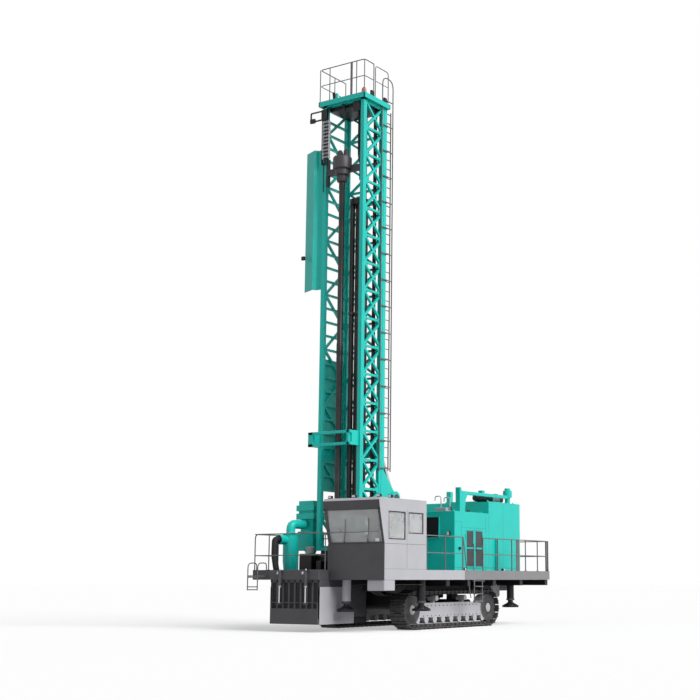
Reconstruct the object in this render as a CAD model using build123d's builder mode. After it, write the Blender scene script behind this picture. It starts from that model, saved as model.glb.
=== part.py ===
# Rotary blasthole drill rig on tracks, in millimetres.
# +X is the drill end, +Y the cab side, +Z up. The origin is on the ground under the middle of the machine.
import os
from math import atan2, cos, degrees, hypot, pi, sin

from build123d import *

os.makedirs("parts", exist_ok=True)

# Running gaps
SLIDE = 0.3
SWING = 10.0
PIN_FIT = 0.05

# Deck
DECK_TOP = 1910.0
DECK_DEPTH = 310.0
DECK_PLATE = 14.0
HALF_WIDTH = 2520.0
DECK_REAR = -5660.0
DECK_JOINT = 350.0
FRONT_DECK_END = -DECK_REAR
FRONT_APRON = 5040.0
DECK_BOTTOM = DECK_TOP - DECK_DEPTH

# Tracks
TRACK_REAR = -3100.0
TRACK_FRONT = 2950.0
TRACK_HEIGHT = 1280.0
TRACK_OUTER_Y = 1850.0
SHOE_WIDTH = 600.0
SHOE_COUNT = 50
SHOE_THICK = 35.0
LUG_HEIGHT = 45.0
LUG_THICK = 40.0
LINK_HEIGHT = 110.0

# Main frame
BEAM_Y = 720.0
BEAM_WIDTH = 220.0
BEAM_DEPTH = 400.0
AXLE_RADIUS = 170.0

# Cab
CAB_REAR = 2680.0
CAB_FRONT = 4990.0
CAB_INNER_Y = 360.0
CAB_ROOF = 4000.0
CAB_ROOF_DEPTH = 210.0
CAB_LEAN = 270.0
CAB_SILL = 2700.0
CAB_WALL = 60.0
GLASS = 12.0
SIDE_WINDOWS = (
    # rear end, front end, height of the lower edge over the sill
    (3870.0, 4790.0, 130.0),
    (2860.0, 3700.0, 330.0),
)
WINDOW_TOP = 90.0
SEAT_X = 4000.0
SEAT_Y = 1450.0

# Mast
MAST_Y = -550.0
MAST_HALF = 880.0
MAST_FRONT = 3350.0
MAST_DEPTH = 1380.0
MAST_FOOT = 2640.0
MAST_TOP = 18000.0
CHORD = 170.0
CHORD_THICK = 140.0
BRACE = 75.0
MAST_BAYS = 16
PLATFORM_TOP = 18200.0
RAIL_HEIGHT = 1100.0
TOP_RAIL_HEIGHT = 1200.0
HINGE_X = 1350.0
HINGE_Z = 4330.0
HINGE_PIN = 80.0
EAR = 60.0
MAST_REAR = MAST_FRONT - MAST_DEPTH

# Raising cylinders
LIFT_BASE = (0.0, 2330.0)
LIFT_EYE = (1850.0, 5930.0)
LIFT_HALF = 600.0
LIFT_BARREL = 130.0
LIFT_ROD = 70.0
LUG_GAP = 95.0

# Drill string and carousel
STRING_X = 3380.0
STRING_RADIUS = 90.0
STRING_END = 2720.0
HEAD_BOTTOM = 15360.0
HEAD_HEIGHT = 490.0
HEAD_RADIUS = 260.0
CAROUSEL_X = 2780.0
CAROUSEL_Y = -250.0
CAROUSEL_CIRCLE = 225.0
CAROUSEL_PLATE = 330.0
CAROUSEL_TOP = 14570.0
CAROUSEL_BOTTOM = 2960.0
PIPE_RADIUS = 90.0
PIPE_COUNT = 4

# Dust skirt
SKIRT_FRONT = 5600.0
SKIRT_REAR = 3010.0
SKIRT_HALF = 980.0
SKIRT_BOTTOM = 240.0
SKIRT_WALL = 16.0
CURTAIN_HEIGHT = 480.0
CURTAIN_THICK = 40.0
PIPE_HOLE = 240.0

# House
HOUSE_FRONT = -520.0
HOUSE_STEP = -2830.0
HOUSE_REAR = -5120.0
HOUSE_HALF = 1570.0
HOUSE_LOW_TOP = 3940.0
HOUSE_TALL_TOP = 4380.0
HOUSE_WALL = 50.0
DOOR_START = -1240.0
DOOR_WIDTH = 575.0
DOOR_BOTTOM = 1990.0
DOOR_TOP = 3320.0
DOOR_THICK = 45.0

# Door hinges
KNUCKLE_RADIUS = 14.0
KNUCKLE_LENGTH = 110.0
LUG_LENGTH = 60.0
STRAP = 45.0
HINGE_RISE = 200.0

# Jacks
JACK_PAD_RADIUS = 300.0
JACK_PAD_BOTTOM = 620.0
JACK_TUBE = 130.0
JACK_LEG = 95.0
JACK_TUBE_BOTTOM = 880.0
MIDDLE_JACK_X = 2470.0
MIDDLE_JACK_Y = 2190.0
POST_TUBE = 22.0
RAIL_TUBE = 18.0

# Access ladder
ACCESS_X = (-900.0, -300.0)
ACCESS_Y = 2470.0
ACCESS_TUBE = 20.0
ACCESS_LUG = 25.0
ACCESS_BOTTOM = 820.0
ACCESS_Z = DECK_BOTTOM - ACCESS_TUBE - SWING


def block(x, y, z, mode=Mode.ADD):
    """Box between two limits on each axis."""
    with Locations(((x[0] + x[1]) / 2, (y[0] + y[1]) / 2, (z[0] + z[1]) / 2)):
        Box(abs(x[1] - x[0]), abs(y[1] - y[0]), abs(z[1] - z[0]), mode=mode)


def bar(start, end, radius, mode=Mode.ADD):
    """Round bar between two points."""
    run = Vector(*end) - Vector(*start)
    with Locations(Plane(origin=start, z_dir=run)):
        Cylinder(radius, run.length, align=(Align.CENTER, Align.CENTER, Align.MIN), mode=mode)


def knuckle(axis, level, length, strap):
    """Length of a vertical hinge on its axis, with a strap onto the panel beside it."""
    x, y = axis
    with Locations((x, y, level)):
        Cylinder(KNUCKLE_RADIUS, length, align=(Align.CENTER, Align.CENTER, Align.MIN))
    block((x, x + strap[0]), (y, y + strap[1]), (level, level + length))


def hinge_levels(bottom, top):
    """Lower ends of the two knuckles on a door."""
    return bottom + HINGE_RISE, top - HINGE_RISE - KNUCKLE_LENGTH


def hinge_lugs(axis, bottom, top, strap):
    """Lugs of the fixed side, one above and one below each knuckle."""
    for level in hinge_levels(bottom, top):
        knuckle(axis, level - SLIDE - LUG_LENGTH, LUG_LENGTH, strap)
        knuckle(axis, level + KNUCKLE_LENGTH + SLIDE, LUG_LENGTH, strap)


def save(builder, label):
    """Name a finished piece and write it."""
    builder.part.label = label
    export_step(builder.part, f"parts/{label}.step")


# Tracks: each is one closed loop of shoes with its lugs in the outline
def loop_outline(height, front, rear, inset):
    """Centre points and radius of a rounded loop, drawn inwards by an inset."""
    radius = height / 2
    return front - radius, rear + radius, radius, radius - inset


def loop_points():
    """Outline of the shoes and lugs, walked once round the loop."""
    reach = SHOE_THICK + LUG_HEIGHT
    front, rear, radius, inner = loop_outline(TRACK_HEIGHT, TRACK_FRONT, TRACK_REAR, reach)
    straight = front - rear
    length = 2 * straight + 2 * pi * inner
    pitch = length / SHOE_COUNT
    gap = 18.0

    def place(along, out):
        """Point at a distance along the loop and a height outside the shoe's base."""
        along = along % length
        if along < straight:
            return rear + along, radius + inner + out
        along -= straight
        if along < pi * inner:
            turn = along / inner
            return front + (inner + out) * sin(turn), radius + (inner + out) * cos(turn)
        along -= pi * inner
        if along < straight:
            return front - along, radius - inner - out
        along -= straight
        turn = pi + along / inner
        return rear + (inner + out) * sin(turn), radius + (inner + out) * cos(turn)

    # along the shoe from its start, height above the shoe's base
    shoe = [
        (0, 0),
        (0, SHOE_THICK),
        (pitch / 2 - LUG_THICK / 2, SHOE_THICK),
        (pitch / 2 - LUG_THICK / 2, reach),
        (pitch / 2 + LUG_THICK / 2, reach),
        (pitch / 2 + LUG_THICK / 2, SHOE_THICK),
        (pitch - gap, SHOE_THICK),
        (pitch - gap, 0),
    ]
    return [place(number * pitch + along, out) for number in range(SHOE_COUNT) for along, out in shoe]


LOOP_INSET = SHOE_THICK + LUG_HEIGHT + LINK_HEIGHT
LOOP_FRONT, LOOP_REAR, LOOP_RADIUS, LOOP_INNER = loop_outline(TRACK_HEIGHT, TRACK_FRONT, TRACK_REAR, LOOP_INSET)
LOOP_MID = (LOOP_FRONT + LOOP_REAR) / 2
TRACK_MID_Y = TRACK_OUTER_Y - SHOE_WIDTH / 2
ROLLER_RADIUS = 120.0
FRAME_WIDTH = 300.0

for side, name in ((1, "right"), (-1, "left")):
    middle = side * TRACK_MID_Y
    with BuildPart() as track:
        with BuildSketch(Plane.XZ.offset(-middle)):
            with BuildLine():
                Polyline(loop_points(), close=True)
            make_face()
            with Locations((LOOP_MID, LOOP_RADIUS)):
                SlotCenterToCenter(LOOP_FRONT - LOOP_REAR, 2 * LOOP_INNER, mode=Mode.SUBTRACT)
        extrude(amount=SHOE_WIDTH / 2, both=True)
    save(track, f"track_{name}")

    roller_z = LOOP_RADIUS - LOOP_INNER + ROLLER_RADIUS + SLIDE
    wheel = LOOP_INNER - SLIDE
    with BuildPart() as frame:
        with BuildSketch(Plane.XZ.offset(-middle)):
            with BuildLine():
                Polyline(
                    (LOOP_REAR, LOOP_RADIUS - 260),
                    (LOOP_FRONT, LOOP_RADIUS - 260),
                    (LOOP_FRONT, LOOP_RADIUS + 90),
                    (LOOP_FRONT - 900, LOOP_RADIUS + 210),
                    (LOOP_REAR + 900, LOOP_RADIUS + 210),
                    (LOOP_REAR, LOOP_RADIUS + 90),
                    close=True,
                )
            make_face()
        extrude(amount=FRAME_WIDTH / 2, both=True)
        for spot in (LOOP_FRONT, LOOP_REAR):
            with Locations(Plane(origin=(spot, middle, LOOP_RADIUS), z_dir=(0, 1, 0))):
                Cylinder(wheel, FRAME_WIDTH + 60)
        rollers = 9
        step = (LOOP_FRONT - LOOP_REAR - 700) / (rollers - 1)
        for number in range(rollers):
            with Locations(Plane(origin=(LOOP_REAR + 350 + number * step, middle, roller_z), z_dir=(0, 1, 0))):
                Cylinder(ROLLER_RADIUS, FRAME_WIDTH + 40)
        top_z = LOOP_RADIUS + LOOP_INNER - 90 - SLIDE
        for spot in (LOOP_MID - 900, LOOP_MID + 900):
            with Locations(Plane(origin=(spot, middle, top_z), z_dir=(0, 1, 0))):
                Cylinder(90, FRAME_WIDTH + 40)
            block((spot - 60, spot + 60), (middle - 60, middle + 60), (LOOP_RADIUS, top_z))
    save(frame, f"track_frame_{name}")

# Main frame: two box beams with cross members, carried by two axle beams
BEAM_BOTTOM = DECK_BOTTOM - BEAM_DEPTH
AXLE_Z = LOOP_RADIUS + 120
AXLE_SPOTS = (1300.0, -1700.0)
FRAME_REAR = DECK_REAR + 60
FRAME_FRONT = MIDDLE_JACK_X + 200
with BuildPart() as main_frame:
    for side in (1, -1):
        block(
            (FRAME_REAR, FRAME_FRONT),
            (side * BEAM_Y - BEAM_WIDTH / 2, side * BEAM_Y + BEAM_WIDTH / 2),
            (BEAM_BOTTOM, DECK_BOTTOM),
        )
    for spot in (FRAME_REAR + 100, -3600.0, -1700.0, 0.0, 1300.0):
        block((spot - 100, spot + 100), (-HALF_WIDTH + 60, HALF_WIDTH - 60), (DECK_BOTTOM - 200, DECK_BOTTOM))
    reach = MIDDLE_JACK_Y - JACK_TUBE - SLIDE
    block((MIDDLE_JACK_X - 100, MIDDLE_JACK_X + 100), (-reach, reach), (DECK_BOTTOM - 200, DECK_BOTTOM))
    for spot in AXLE_SPOTS:
        reach = TRACK_MID_Y - FRAME_WIDTH / 2
        bar((spot, -reach, AXLE_Z), (spot, reach, AXLE_Z), AXLE_RADIUS)
        for side in (1, -1):
            block(
                (spot - 200, spot + 200),
                (side * BEAM_Y - BEAM_WIDTH / 2, side * BEAM_Y + BEAM_WIDTH / 2),
                (AXLE_Z, BEAM_BOTTOM),
            )
save(main_frame, "main_frame")


def deck_section(x, y, lip):
    """Plate with a deep edge all round, open below."""
    block(x, y, (DECK_BOTTOM, DECK_TOP))
    block(
        (x[0] + lip, x[1] - lip),
        (y[0] + lip, y[1] - lip),
        (DECK_BOTTOM, DECK_TOP - DECK_PLATE),
        mode=Mode.SUBTRACT,
    )


MAST_LEFT = MAST_Y - MAST_HALF
MAST_RIGHT = MAST_Y + MAST_HALF
LIP = 40.0
with BuildPart() as deck_rear:
    deck_section((DECK_REAR, DECK_JOINT), (-HALF_WIDTH, HALF_WIDTH), LIP)
    for x in (ACCESS_X[0] - ACCESS_LUG, ACCESS_X[1]):
        block((x, x + ACCESS_LUG), (ACCESS_Y - 30, HALF_WIDTH), (ACCESS_Z - 30, DECK_BOTTOM))
save(deck_rear, "deck_rear")

with BuildPart() as deck_right:
    deck_section((DECK_JOINT, CAB_FRONT), (MAST_RIGHT, HALF_WIDTH), LIP)
save(deck_right, "deck_right")

SKIRT_LEFT = MAST_Y - SKIRT_HALF
SKIRT_RIGHT = MAST_Y + SKIRT_HALF
with BuildPart() as deck_left:
    deck_section((DECK_JOINT, FRONT_DECK_END), (-HALF_WIDTH, MAST_LEFT), LIP)
save(deck_left, "deck_left")

with BuildPart() as drill_floor:
    deck_section((DECK_JOINT, FRONT_DECK_END), (MAST_LEFT, MAST_RIGHT), LIP)
    # apron over the skirt's right edge, in front of the cab
    block((FRONT_APRON, FRONT_DECK_END), (MAST_RIGHT, SKIRT_RIGHT), (DECK_BOTTOM, DECK_TOP))
    with Locations((STRING_X, MAST_Y, DECK_TOP - DECK_PLATE / 2)):
        Cylinder(PIPE_HOLE, 3 * DECK_PLATE, mode=Mode.SUBTRACT)
save(drill_floor, "drill_floor")

# Dust skirt: steel sides under the drill floor, with a curtain at the front that slides up
with BuildPart() as skirt:
    for edge in (SKIRT_LEFT, SKIRT_RIGHT - SKIRT_WALL):
        block((SKIRT_REAR, SKIRT_FRONT), (edge, edge + SKIRT_WALL), (SKIRT_BOTTOM, DECK_BOTTOM))
    block((SKIRT_REAR, SKIRT_REAR + SKIRT_WALL), (SKIRT_LEFT, SKIRT_RIGHT), (SKIRT_BOTTOM, DECK_BOTTOM))
    block(
        (SKIRT_FRONT - SKIRT_WALL, SKIRT_FRONT),
        (SKIRT_LEFT, SKIRT_RIGHT),
        (SKIRT_BOTTOM + CURTAIN_HEIGHT - 60, DECK_BOTTOM),
    )
save(skirt, "dust_skirt")

CURTAIN_ROD_Y = 420.0
with BuildPart() as curtain:
    block(
        (SKIRT_FRONT + SLIDE, SKIRT_FRONT + SLIDE + CURTAIN_THICK),
        (SKIRT_LEFT, SKIRT_RIGHT),
        (SKIRT_BOTTOM, SKIRT_BOTTOM + CURTAIN_HEIGHT),
    )
save(curtain, "dust_curtain")

# Cab: a shell of flat panels with its windows cut, whose front leans out towards the roof
CAB_FLOOR = DECK_TOP
CAB_EAVES = CAB_ROOF - CAB_ROOF_DEPTH
CAB_OUTER_Y = HALF_WIDTH
DOOR_Y = (1560.0, 2420.0)
DOOR_Z = (CAB_FLOOR + 90, CAB_EAVES - 90)
SCREEN_Y = (CAB_INNER_Y + 130, CAB_OUTER_Y - 110)
SCREEN_Z = (CAB_SILL + 40, CAB_EAVES - 60)
CAB_HINGE = (CAB_REAR - KNUCKLE_RADIUS, DOOR_Y[1])


def lean(z):
    """Front face of the cab at a height."""
    if z <= CAB_SILL:
        return CAB_FRONT
    return CAB_FRONT + CAB_LEAN * (z - CAB_SILL) / (CAB_EAVES - CAB_SILL)


with BuildPart() as cab:
    with BuildSketch(Plane.XZ.offset(-CAB_INNER_Y)):
        with BuildLine():
            Polyline(
                (CAB_REAR, CAB_FLOOR),
                (CAB_FRONT, CAB_FLOOR),
                (CAB_FRONT, CAB_SILL),
                (lean(CAB_EAVES), CAB_EAVES),
                (CAB_REAR, CAB_EAVES),
                close=True,
            )
        make_face()
    extrude(amount=-(CAB_OUTER_Y - CAB_INNER_Y))
    with BuildSketch(Plane.XZ.offset(-CAB_INNER_Y - CAB_WALL)):
        with BuildLine():
            Polyline(
                (CAB_REAR + CAB_WALL, CAB_FLOOR + CAB_WALL),
                (CAB_FRONT - CAB_WALL, CAB_FLOOR + CAB_WALL),
                (CAB_FRONT - CAB_WALL, CAB_SILL),
                (lean(CAB_EAVES) - CAB_WALL, CAB_EAVES),
                (CAB_REAR + CAB_WALL, CAB_EAVES),
                close=True,
            )
        make_face()
    extrude(amount=-(CAB_OUTER_Y - CAB_INNER_Y - 2 * CAB_WALL), mode=Mode.SUBTRACT)
    # windscreen, seen along X
    block((CAB_FRONT - 200, CAB_FRONT + 400), SCREEN_Y, SCREEN_Z, mode=Mode.SUBTRACT)
    # side window at the front, and a smaller one behind it, on both sides
    for wall in (CAB_INNER_Y, CAB_OUTER_Y - CAB_WALL):
        for rear, front, lift in SIDE_WINDOWS:
            block(
                (rear, front),
                (wall - 5, wall + CAB_WALL + 5),
                (CAB_SILL + lift, CAB_EAVES - WINDOW_TOP),
                mode=Mode.SUBTRACT,
            )
    # doorway in the rear wall
    block((CAB_REAR - 5, CAB_REAR + CAB_WALL + 5), DOOR_Y, DOOR_Z, mode=Mode.SUBTRACT)
    hinge_lugs(CAB_HINGE, *DOOR_Z, (KNUCKLE_RADIUS, STRAP))
save(cab, "cab_shell")

with BuildPart() as roof:
    with BuildSketch(Plane.XZ.offset(-CAB_INNER_Y)):
        with BuildLine():
            Polyline(
                (CAB_REAR, CAB_EAVES),
                (lean(CAB_EAVES), CAB_EAVES),
                (lean(CAB_EAVES) + 40, CAB_ROOF - 60),
                (lean(CAB_EAVES) - 40, CAB_ROOF),
                (CAB_REAR, CAB_ROOF),
                close=True,
            )
        make_face()
    extrude(amount=-(CAB_OUTER_Y - CAB_INNER_Y))
save(roof, "cab_roof")

with BuildPart() as front_panel:
    block((CAB_FRONT, CAB_FRONT + 30), (CAB_INNER_Y, CAB_OUTER_Y), (DECK_BOTTOM, CAB_SILL))
save(front_panel, "cab_front_panel")

with BuildPart() as glass:
    # windscreen pane leans with the front, set in the wall's middle
    with BuildSketch(Plane.XZ.offset(-SCREEN_Y[0])):
        with BuildLine():
            inset = (CAB_WALL + GLASS) / 2
            base, top = SCREEN_Z
            Polyline(
                (lean(base) - inset, base),
                (lean(base) - inset + GLASS, base),
                (lean(top) - inset + GLASS, top),
                (lean(top) - inset, top),
                close=True,
            )
        make_face()
    extrude(amount=SCREEN_Y[0] - SCREEN_Y[1])
    for wall in (CAB_INNER_Y, CAB_OUTER_Y - CAB_WALL):
        inside = wall + (CAB_WALL - GLASS) / 2
        for rear, front, lift in SIDE_WINDOWS:
            block((rear, front), (inside, inside + GLASS), (CAB_SILL + lift, CAB_EAVES - WINDOW_TOP))
save(glass, "cab_glass")

with BuildPart() as door:
    block(
        (CAB_REAR, CAB_REAR + CAB_WALL),
        (DOOR_Y[0] + SWING, DOOR_Y[1] - SWING),
        (DOOR_Z[0] + SWING, DOOR_Z[1] - SWING),
    )
    block(
        (CAB_REAR - 5, CAB_REAR + CAB_WALL + 5),
        (DOOR_Y[0] + 130, DOOR_Y[1] - 130),
        (DOOR_Z[0] + 800, DOOR_Z[1] - 130),
        mode=Mode.SUBTRACT,
    )
    for level in hinge_levels(*DOOR_Z):
        knuckle(CAB_HINGE, level, KNUCKLE_LENGTH, (KNUCKLE_RADIUS, -STRAP))
save(door, "cab_door")

with BuildPart() as door_glass:
    inside = CAB_REAR + (CAB_WALL - GLASS) / 2
    block(
        (inside, inside + GLASS), (DOOR_Y[0] + 130, DOOR_Y[1] - 130), (DOOR_Z[0] + 800, DOOR_Z[1] - 130)
    )
save(door_glass, "cab_door_glass")

with BuildPart() as seat:
    floor = CAB_FLOOR + CAB_WALL
    with Locations((SEAT_X, SEAT_Y, floor)):
        Cylinder(160, 380, align=(Align.CENTER, Align.CENTER, Align.MIN))
    block((SEAT_X - 260, SEAT_X + 260), (SEAT_Y - 260, SEAT_Y + 260), (floor + 380, floor + 500))
    block((SEAT_X - 360, SEAT_X - 220), (SEAT_Y - 260, SEAT_Y + 260), (floor + 400, floor + 1150))
    for arm in (SEAT_Y - 370, SEAT_Y + 260):
        block((SEAT_X - 280, SEAT_X + 200), (arm, arm + 110), (floor + 480, floor + 700))
save(seat, "operator_seat")

# House: a low engine module and a taller cooler module, both thin-walled
LEAVES = (
    # name, hinge line, direction from the hinge to the leaf
    ("front", DOOR_START, -1),
    ("rear", DOOR_START - 2 * DOOR_WIDTH, 1),
)
with BuildPart() as house_low:
    block((HOUSE_STEP, HOUSE_FRONT), (-HOUSE_HALF, HOUSE_HALF), (DECK_TOP, HOUSE_LOW_TOP))
    block(
        (HOUSE_STEP + HOUSE_WALL, HOUSE_FRONT - HOUSE_WALL),
        (-HOUSE_HALF + HOUSE_WALL, HOUSE_HALF - HOUSE_WALL),
        (DECK_TOP, HOUSE_LOW_TOP - HOUSE_WALL),
        mode=Mode.SUBTRACT,
    )
    for side in (1, -1):
        block(
            (DOOR_START - 2 * DOOR_WIDTH, DOOR_START),
            (side * (HOUSE_HALF - 60), side * (HOUSE_HALF + 5)),
            (DOOR_BOTTOM, DOOR_TOP),
            mode=Mode.SUBTRACT,
        )
        for name, hinge_x, along in LEAVES:
            axis = (hinge_x, side * (HOUSE_HALF + KNUCKLE_RADIUS))
            hinge_lugs(axis, DOOR_BOTTOM, DOOR_TOP, (-along * STRAP, -side * KNUCKLE_RADIUS))
save(house_low, "house_low")

with BuildPart() as house_tall:
    block((HOUSE_REAR, HOUSE_STEP), (-HOUSE_HALF, HOUSE_HALF), (DECK_TOP, HOUSE_TALL_TOP))
    block(
        (HOUSE_REAR + HOUSE_WALL, HOUSE_STEP - HOUSE_WALL),
        (-HOUSE_HALF + HOUSE_WALL, HOUSE_HALF - HOUSE_WALL),
        (DECK_TOP, HOUSE_TALL_TOP - HOUSE_WALL),
        mode=Mode.SUBTRACT,
    )
    block(
        (HOUSE_REAR - 5, HOUSE_REAR + HOUSE_WALL + 5),
        (-HOUSE_HALF + 200, HOUSE_HALF - 200),
        (DECK_TOP + 300, HOUSE_TALL_TOP - 200),
        mode=Mode.SUBTRACT,
    )
save(house_tall, "house_tall")

with BuildPart() as grille:
    wide = 2 * HOUSE_HALF - 400
    tall = HOUSE_TALL_TOP - DECK_TOP - 500
    block(
        (HOUSE_REAR, HOUSE_REAR + 30),
        (-wide / 2, wide / 2),
        (DECK_TOP + 300, HOUSE_TALL_TOP - 200),
    )
    slats = 12
    with BuildSketch(Plane.YZ.offset(HOUSE_REAR - 5)):
        with Locations((0, DECK_TOP + 300 + tall / 2)):
            with GridLocations(0, tall / slats, 1, slats):
                Rectangle(wide - 160, tall / slats * 0.55)
    extrude(amount=40, mode=Mode.SUBTRACT)
save(grille, "cooler_grille")

for side, name in ((1, "right"), (-1, "left")):
    for leaf_name, hinge_x, along in LEAVES:
        with BuildPart() as leaf:
            block(
                (hinge_x + along * SWING / 2, hinge_x + along * (DOOR_WIDTH - SWING / 2)),
                (side * (HOUSE_HALF - DOOR_THICK), side * HOUSE_HALF),
                (DOOR_BOTTOM + SWING, DOOR_TOP - SWING),
            )
            axis = (hinge_x, side * (HOUSE_HALF + KNUCKLE_RADIUS))
            for level in hinge_levels(DOOR_BOTTOM, DOOR_TOP):
                knuckle(axis, level, KNUCKLE_LENGTH, (along * STRAP, -side * KNUCKLE_RADIUS))
        save(leaf, f"house_door_{name}_{leaf_name}")

with BuildPart() as engine:
    block((HOUSE_STEP + 300, HOUSE_FRONT - 400), (-550, 550), (DECK_TOP, DECK_TOP + 1350))
save(engine, "engine_block")

with BuildPart() as receiver:
    with Locations(Plane(origin=(HOUSE_STEP - 1100, 0, DECK_TOP + 700), z_dir=(0, 1, 0))):
        Cylinder(450, 2200)
    for spot in (-800, 800):
        block((HOUSE_STEP - 1400, HOUSE_STEP - 800), (spot - 60, spot + 60), (DECK_TOP, DECK_TOP + 500))
save(receiver, "air_receiver")

with BuildPart() as muffler:
    with Locations(Plane(origin=(-2100, 1000, HOUSE_LOW_TOP + 330), z_dir=(1, 0, 0))):
        Cylinder(150, 1200)
    for spot in (-2450, -1750):
        block((spot - 40, spot + 40), (940, 1060), (HOUSE_LOW_TOP, HOUSE_LOW_TOP + 250))
save(muffler, "muffler")

REST_X = -4700.0
REST_TOP = HINGE_Z + MAST_REAR - HINGE_X - SWING
REST_WIDTH = 180.0
LADDER_INSET = 80.0
LADDER_STILE = 30.0
with BuildPart() as mast_rest:
    for edge in (MAST_LEFT + 60, MAST_RIGHT - LADDER_INSET - SWING - REST_WIDTH):
        block((REST_X - 90, REST_X + 90), (edge, edge + REST_WIDTH), (HOUSE_TALL_TOP, REST_TOP))
    block(
        (REST_X - 70, REST_X + 70),
        (MAST_LEFT, MAST_RIGHT),
        (HOUSE_TALL_TOP, HOUSE_TALL_TOP + 160),
    )
save(mast_rest, "mast_rest")

# Dust collector on the left deck: a cyclone and a filter box on legs
CYCLONE = (3890.0, -2080.0)
with BuildPart() as collector:
    with BuildSketch(Plane.XZ.offset(-CYCLONE[1])):
        with BuildLine():
            Polyline(
                (CYCLONE[0], DECK_TOP),
                (CYCLONE[0] + 220, DECK_TOP),
                (CYCLONE[0] + 300, DECK_TOP + 450),
                (CYCLONE[0] + 300, DECK_TOP + 1250),
                (CYCLONE[0], DECK_TOP + 1250),
                close=True,
            )
        make_face()
    revolve(axis=Axis((CYCLONE[0], CYCLONE[1], 0), (0, 0, 1)))
    for leg_x in (2650, 3350):
        for leg_y in (-2400, -1660):
            block((leg_x - 40, leg_x + 40), (leg_y - 40, leg_y + 40), (DECK_TOP, DECK_TOP + 1500))
    block((2600, 3480), (-2460, -1600), (DECK_TOP + 1500, DECK_TOP + 2150))
save(collector, "dust_collector")

# Mast support: two plates on the deck that carry the hinge pins
SUPPORT = 70.0
SUPPORTS = (
    # side, inner face of the plate
    ("left", MAST_LEFT - SWING - SUPPORT),
    ("right", MAST_RIGHT + SWING),
)
with BuildPart() as supports:
    for name, edge in SUPPORTS:
        with BuildSketch(Plane.XZ.offset(-edge)):
            with BuildLine():
                Polyline(
                    (HINGE_X - 800, DECK_TOP),
                    (HINGE_X + 750, DECK_TOP),
                    (HINGE_X + 230, HINGE_Z),
                    (HINGE_X - 230, HINGE_Z),
                    close=True,
                )
            make_face()
            with Locations((HINGE_X, HINGE_Z)):
                Circle(230)
        extrude(amount=-SUPPORT)
        if name == "left":
            bar((HINGE_X, edge, HINGE_Z), (HINGE_X, MAST_LEFT + EAR + 20, HINGE_Z), HINGE_PIN)
        else:
            bar((HINGE_X, edge + SUPPORT, HINGE_Z), (HINGE_X, MAST_RIGHT - EAR - 20, HINGE_Z), HINGE_PIN)
    # brackets with the raising cylinders' base pins
    for side in (1, -1):
        y = MAST_Y + side * LIFT_HALF
        for cheek in (-95, 95):
            with BuildSketch(Plane.XZ.offset(-(y + cheek - 20))):
                with BuildLine():
                    Polyline(
                        (LIFT_BASE[0] - 300, DECK_TOP),
                        (LIFT_BASE[0] + 300, DECK_TOP),
                        (LIFT_BASE[0] + 90, LIFT_BASE[1]),
                        (LIFT_BASE[0] - 90, LIFT_BASE[1]),
                        close=True,
                    )
                make_face()
                with Locations(LIFT_BASE):
                    Circle(90)
            extrude(amount=-40)
        bar((LIFT_BASE[0], y - 115, LIFT_BASE[1]), (LIFT_BASE[0], y + 115, LIFT_BASE[1]), 45)
save(supports, "mast_supports")

# Mast side frames: two chords with braces, and an ear at the rear for the hinge
BAY = (MAST_TOP - MAST_FOOT) / MAST_BAYS
CLEAR = MAST_DEPTH - 2 * CHORD
for name, edge in (("left", MAST_LEFT), ("right", MAST_RIGHT - CHORD_THICK)):
    with BuildPart() as side_frame:
        with BuildSketch(Plane.XZ.offset(-edge)):
            for spot in (MAST_FRONT - CHORD / 2, MAST_REAR + CHORD / 2):
                with Locations((spot, (MAST_FOOT + MAST_TOP) / 2)):
                    Rectangle(CHORD, MAST_TOP - MAST_FOOT)
        extrude(amount=-CHORD_THICK)
        middle = (MAST_FRONT + MAST_REAR) / 2
        slant = degrees(atan2(BAY, CLEAR))
        run = hypot(BAY, CLEAR)
        inset = (CHORD_THICK - BRACE) / 2
        with BuildSketch(Plane.XZ.offset(-edge - inset)):
            spots = [(middle, MAST_FOOT + number * BAY) for number in range(1, MAST_BAYS)]
            spots += [(middle, MAST_FOOT + BRACE / 2), (middle, MAST_TOP - BRACE / 2)]
            with Locations(*spots):
                Rectangle(CLEAR + 20, BRACE)
            for turn, first in ((slant, 0), (-slant, 1)):
                spots = [(middle, MAST_FOOT + (number + 0.5) * BAY) for number in range(first, MAST_BAYS, 2)]
                with Locations(*spots):
                    Rectangle(run, BRACE, rotation=turn)
            with Locations((middle, (MAST_FOOT + MAST_TOP) / 2)):
                Rectangle(CLEAR + 20, MAST_TOP - MAST_FOOT, mode=Mode.INTERSECT)
        extrude(amount=-BRACE)
        ear_edge = MAST_LEFT if name == "left" else MAST_RIGHT - EAR
        with BuildSketch(Plane.XZ.offset(-ear_edge)):
            with BuildLine():
                Polyline(
                    (MAST_REAR + 20, HINGE_Z - 700),
                    (HINGE_X, HINGE_Z - 200),
                    (HINGE_X, HINGE_Z + 200),
                    (MAST_REAR + 20, HINGE_Z + 900),
                    close=True,
                )
            make_face()
            with Locations((HINGE_X, HINGE_Z)):
                Circle(200)
        extrude(amount=-EAR)
        with BuildSketch(Plane.XZ.offset(-ear_edge)):
            with Locations((HINGE_X, HINGE_Z)):
                Circle(HINGE_PIN + PIN_FIT)
        extrude(amount=-EAR, mode=Mode.SUBTRACT)
    save(side_frame, f"mast_{name}")

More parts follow.
